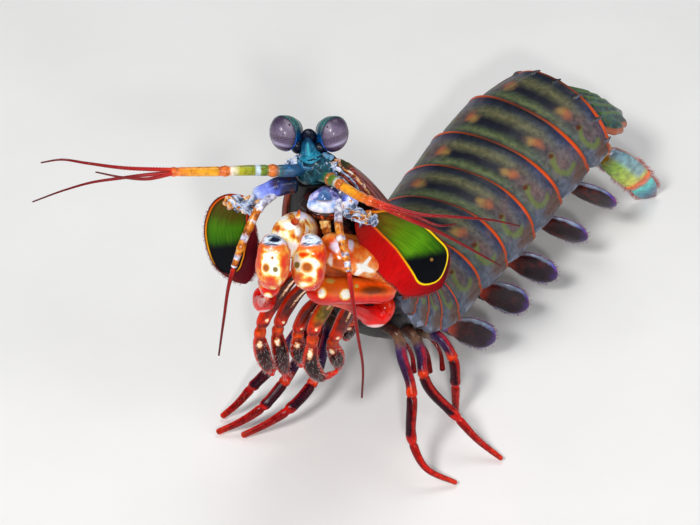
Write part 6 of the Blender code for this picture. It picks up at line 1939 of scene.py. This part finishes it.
# Tail
TELSON_LENGTH = 20.5
TELSON_HEADING = 48.0
TELSON_PITCH = -30.0
TELSON_DOME = 5.6
TELSON_THICKNESS = 2.2
TELSON_RISE = 3.0
TELSON_HALF = 14.5
TELSON_OUTLINE = (
    (10.8, 0.0), (12.6, 3.5), (13.0, 8.0), (12.2, 12.4), (10.9, 12.2),
    (10.0, 16.6), (8.4, 16.0), (5.2, 20.5), (2.8, 17.6), (0.0, 16.8),
)
UROPOD_STEM = ((9.5, -0.5, -2.5, 3.0, 1.9), (11.5, -2.6, 1.0, 3.2, 1.9), (12.6, -6.0, 4.4, 2.4, 1.5))
UROPOD_OUTER = (
    (12.4, -5.2, 3.6, 2.6, 1.5), (14.2, -9.4, 6.6, 3.9, 1.6), (15.2, -14.4, 10.2, 3.9, 1.4),
    (15.4, -19.0, 13.4, 3.4, 1.1), (15.0, -23.8, 16.4, 3.0, 0.8), (14.6, -28.2, 19.2, 1.1, 0.6),
)
UROPOD_INNER = (
    (10.6, -5.6, 3.2, 1.8, 1.0), (9.6, -10.4, 7.0, 2.8, 0.9),
    (9.0, -15.0, 10.4, 2.6, 0.8), (8.6, -19.0, 13.2, 0.9, 0.5),
)


def telson_look():
    look = Look("telson_shell", rough=0.35, coat=0.3)
    back, side, keel = look.channels("place")
    rim = look.channels("mark")[0]
    cloud = look.noise(0.3, 4.0)
    colour = look.ramp(cloud, ((0.3, rgb(4, 26, 28)), (0.45, rgb(14, 50, 34)), (0.55, rgb(8, 74, 80)),
                               (0.66, rgb(60, 92, 26)), (0.8, rgb(12, 36, 60))))
    colour = look.mottle(colour, 0.3, 0.9)
    dots = look.step(look.cells(0.55), 0.30, 0.18)
    colour = look.mix(look.calc("MULTIPLY", dots, 0.6), colour, rgb(40, 130, 120))
    colour = look.mix(look.step(keel, 0.35, 0.8, 0.0, 0.7), colour, rgb(84, 120, 34))
    colour = look.mix(look.step(rim, 0.55, 0.2), colour, rgb(170, 76, 20))
    colour = look.mix(look.step(back, 0.06, 0.0, 0.0, 0.8), colour, rgb(170, 100, 20))
    return look.finish(colour, look.noise(1.0, 4.0), 0.15, 0.5)


def half_width_at(back):
    """Half width of the telson's outline at a distance tailward, from four given widths, without its teeth."""
    x, y = np.array(TELSON_OUTLINE).T
    return np.interp(back, (0.0, 3.5, 8.0, 12.3), (10.8, 12.6, 13.0, 12.2))


def build_telson(rear):
    """Domed plate with keels and marginal teeth, as fans of cells inside the toothed outline."""
    axes = body_axes(TELSON_HEADING, TELSON_PITCH, TELSON_HEADING, ABDOMEN_LEAN)
    root = Station(rear.at(0.0, TELSON_RISE, 0.2), axes, 30.0, TELSON_DOME)
    outline = list(TELSON_OUTLINE) + [(-x, y) for x, y in TELSON_OUTLINE[-2::-1]]
    outline = np.array(outline)
    base = np.stack((np.linspace(-10.8, 10.8, 24)[1:-1], np.zeros(22)), -1)
    loop = np.concatenate((outline, base))
    arc = arc_of(np.concatenate((loop, loop[:1])))
    t = np.linspace(0, arc[-1], 361)[:-1]
    closed = np.concatenate((loop, loop[:1]))
    edge = np.stack([np.interp(t, arc, closed[:, j]) for j in range(2)], -1)
    heart = np.array((0.0, 8.6))
    shares = np.concatenate((np.linspace(0.02, 0.93, 42), [0.96, 0.985, 1.0]))
    flat = heart + (edge - heart)[None] * shares[:, None, None]
    x, y = flat[..., 0], flat[..., 1]
    fall = 1.0 - 0.35 * (y / (TELSON_LENGTH * 1.05)) ** 2
    dome = (1 - (x / TELSON_HALF) ** 2) * TELSON_DOME * fall
    keel_lines = (0.0, 3.4, 6.6, 9.6)
    keel = np.zeros_like(x)
    for line in keel_lines:
        lean = line * (1 - 0.012 * y)
        keel = np.maximum(keel, bump_at(np.abs(x), lean, 0.5) * ease(y, 1.5, 4.0) * ease(y, 18.0, 13.0))
    round_rim = np.sqrt(np.clip(1 - np.clip((shares - 0.9) / 0.1, 0, 1) ** 2, 0, 1))[:, None]
    top = dome - 1.1 + 1.1 * round_rim + keel * 0.9
    bottom = dome - 1.1 - 1.1 * round_rim
    rim = (1 - shares)[:, None] * 10 * np.ones_like(x)

    def surface(up):
        b, l, u = root.axes
        return root.origin + l * x[..., None] + u * up[..., None] + b * y[..., None]

    grid = np.concatenate((surface(top), surface(bottom)[::-1][1:]))
    place = np.stack((y / TELSON_LENGTH, x / TELSON_HALF, keel), -1)
    mark = np.stack((rim, rim, rim), -1)
    shape = Shape()
    shape.add_closed(grid, np.concatenate((place, place[::-1][1:])), np.concatenate((mark, mark[::-1][1:])))
    piece("telson_skin", shape, telson_look(), "tail", "telson")


def uropod_look():
    """Yellow-green blade with an orange joint and a turquoise end."""
    look = Look("uropod_shell", rough=0.22, coat=0.6, coat_rough=0.08)
    k, c, s = look.channels("place")
    tag = look.channels("tone")[0]
    k = look.calc("ADD", k, look.calc("MULTIPLY_ADD", look.noise(0.4, 3.0), 0.04, -0.02))
    outer = look.ramp(k, (
        (0.0, rgb(196, 90, 14)), (0.06, rgb(120, 120, 20)), (0.16, rgb(120, 160, 24)), (0.36, rgb(170, 190, 60)),
        (0.48, rgb(206, 200, 70)), (0.53, rgb(226, 96, 14)), (0.60, rgb(226, 96, 14)), (0.63, rgb(70, 200, 190)),
        (0.8, rgb(20, 120, 150)), (1.0, rgb(130, 40, 50))))
    blue = look.calc("MULTIPLY", look.step(c, -0.1, 0.5), look.step(k, 0.5, 0.42))
    outer = look.mix(look.calc("MULTIPLY", blue, 0.8), outer, rgb(110, 150, 180))
    stem = look.ramp(look.noise(0.4, 3.0), ((0.35, rgb(60, 96, 20)), (0.5, rgb(180, 100, 14)), (0.65, rgb(220, 140, 30))))
    inner = look.ramp(k, ((0.0, rgb(80, 120, 30)), (0.4, rgb(20, 110, 110)), (1.0, rgb(100, 26, 50))))
    colour = look.mix(look.step(tag, 0.3, 0.6), outer, stem)
    colour = look.mix(look.step(tag, 1.3, 1.6), colour, inner)
    colour = look.mottle(colour, 0.35, 0.6)
    colour = look.mix(look.step(look.calc("ABSOLUTE", c), 0.93, 0.99, 0.0, 0.6), colour, rgb(200, 90, 30))
    return look.finish(colour, look.noise(1.2, 4.0), 0.12, 0.5)


def build_uropods(rear):
    look = uropod_look()
    tuft = setae_look("uropod_setae", rgb(170, 50, 40), rgb(206, 120, 110))
    back, left, up = rear.axes
    for side, sign in (("left", 1.0), ("right", -1.0)):
        tilt = left * sign * 0.45 + up * 0.5 + back * 0.75
        shape, fringe = Shape(), Shape()

        def joint(k, c, s):
            return 1 + 0.10 * bump_at(k, 2.75, 0.12) - 0.10 * bump_at(k, 3.05, 0.06)

        outer = [list(row) for row in UROPOD_OUTER]
        rows_to_limb(shape, rear, UROPOD_STEM, 1.0, sign, tilt, 40, 30, tag=1.0)
        grid = rows_to_limb(shape, rear, outer, 1.0, sign, tilt, 90, 36, form=joint)[0]
        keep = grid[:, 0, 2] > 1.5
        blade_fringe(fringe, grid[keep], 61 + int(sign), 420, 1.6, 0.3)
        grid = rows_to_limb(shape, rear, UROPOD_INNER, 1.0, sign, tilt, 60, 30, tag=2.0)[0]
        blade_fringe(fringe, grid, 71 + int(sign), 260, 1.3, 0.3)
        for points in shape.points:
            points[:, 2] = np.maximum(points[:, 2], 0.0)
        for points in fringe.points:
            points[:, 2] = np.maximum(points[:, 2], 0.02)
        piece("uropod_skin_" + side, shape, look, "tail", "uropod_" + side)
        piece("uropod_hairs_" + side, fringe, tuft, "tail")


def build_floor():
    look = Look("studio_floor", rough=0.7)
    colour = look.ramp(look.noise(0.02, 4.0), ((0.3, rgb(238, 237, 234)), (0.7, rgb(244, 243, 240))))
    look.finish(colour, look.noise(0.6, 3.0), 0.05, 0.2)
    bpy.ops.mesh.primitive_plane_add(size=4.0, location=(0, 0, -0.0002))
    floor = bpy.context.active_object
    floor.name = "studio_floor"
    floor.data.materials.append(look.material)


def area_light(name, place, target, size, watts, colour=(1, 1, 1)):
    light = bpy.data.lights.new(name, "AREA")
    light.shape = "DISK"
    light.size = size
    light.energy = watts
    light.color = colour
    item = bpy.data.objects.new(name, light)
    item.location = place
    aim = np.array(target) - np.array(place)
    item.rotation_mode = "QUATERNION"
    item.rotation_quaternion = track(aim)
    bpy.context.scene.collection.objects.link(item)


def track(aim):
    return Vector(aim).to_track_quat("-Z", "Y")


def build_studio():
    heart = (0.0, 0.0, 0.05)
    area_light("key_light", (-0.35, -0.55, 0.75), heart, 0.22, 5.2)
    area_light("fill_light", (0.7, -0.35, 0.45), heart, 0.5, 1.3)
    area_light("top_light", (0.1, 0.35, 0.9), heart, 0.5, 2.2)
    area_light("flash", (0.03, -0.62, 0.45), heart, 0.05, 1.5)
    world = bpy.data.worlds.new("studio")
    world.use_nodes = True
    background = world.node_tree.nodes["Background"]
    background.inputs["Color"].default_value = (0.86, 0.9, 1.0, 1.0)
    background.inputs["Strength"].default_value = 0.20
    bpy.context.scene.world = world
    bpy.context.scene.view_settings.view_transform = "Standard"


def build_camera():
    data = bpy.data.cameras.new("camera")
    data.sensor_width = SENSOR_WIDTH
    data.lens = FOCAL_PIXELS * SENSOR_WIDTH / IMAGE_WIDTH
    data.clip_start, data.clip_end = 0.01, 20.0
    camera = bpy.data.objects.new("camera", data)
    camera.location = (np.array(CAMERA_PLACE) + SHIFT) * MM
    camera.rotation_euler = (math.radians(CAMERA_TILT), 0.0, 0.0)
    bpy.context.scene.collection.objects.link(camera)
    bpy.context.scene.camera = camera


def main():
    build_camera()
    build_studio()
    build_floor()
    planes = build_trunk()
    build_eyes()
    skin = build_head()
    build_mouth()
    build_antennules()
    build_antennae(skin)
    build_scales()
    build_claws()
    build_maxillipeds()
    build_legs()
    build_pleopods(planes)
    build_telson(planes["abdomen_6"])
    build_uropods(planes["abdomen_6"])


main()
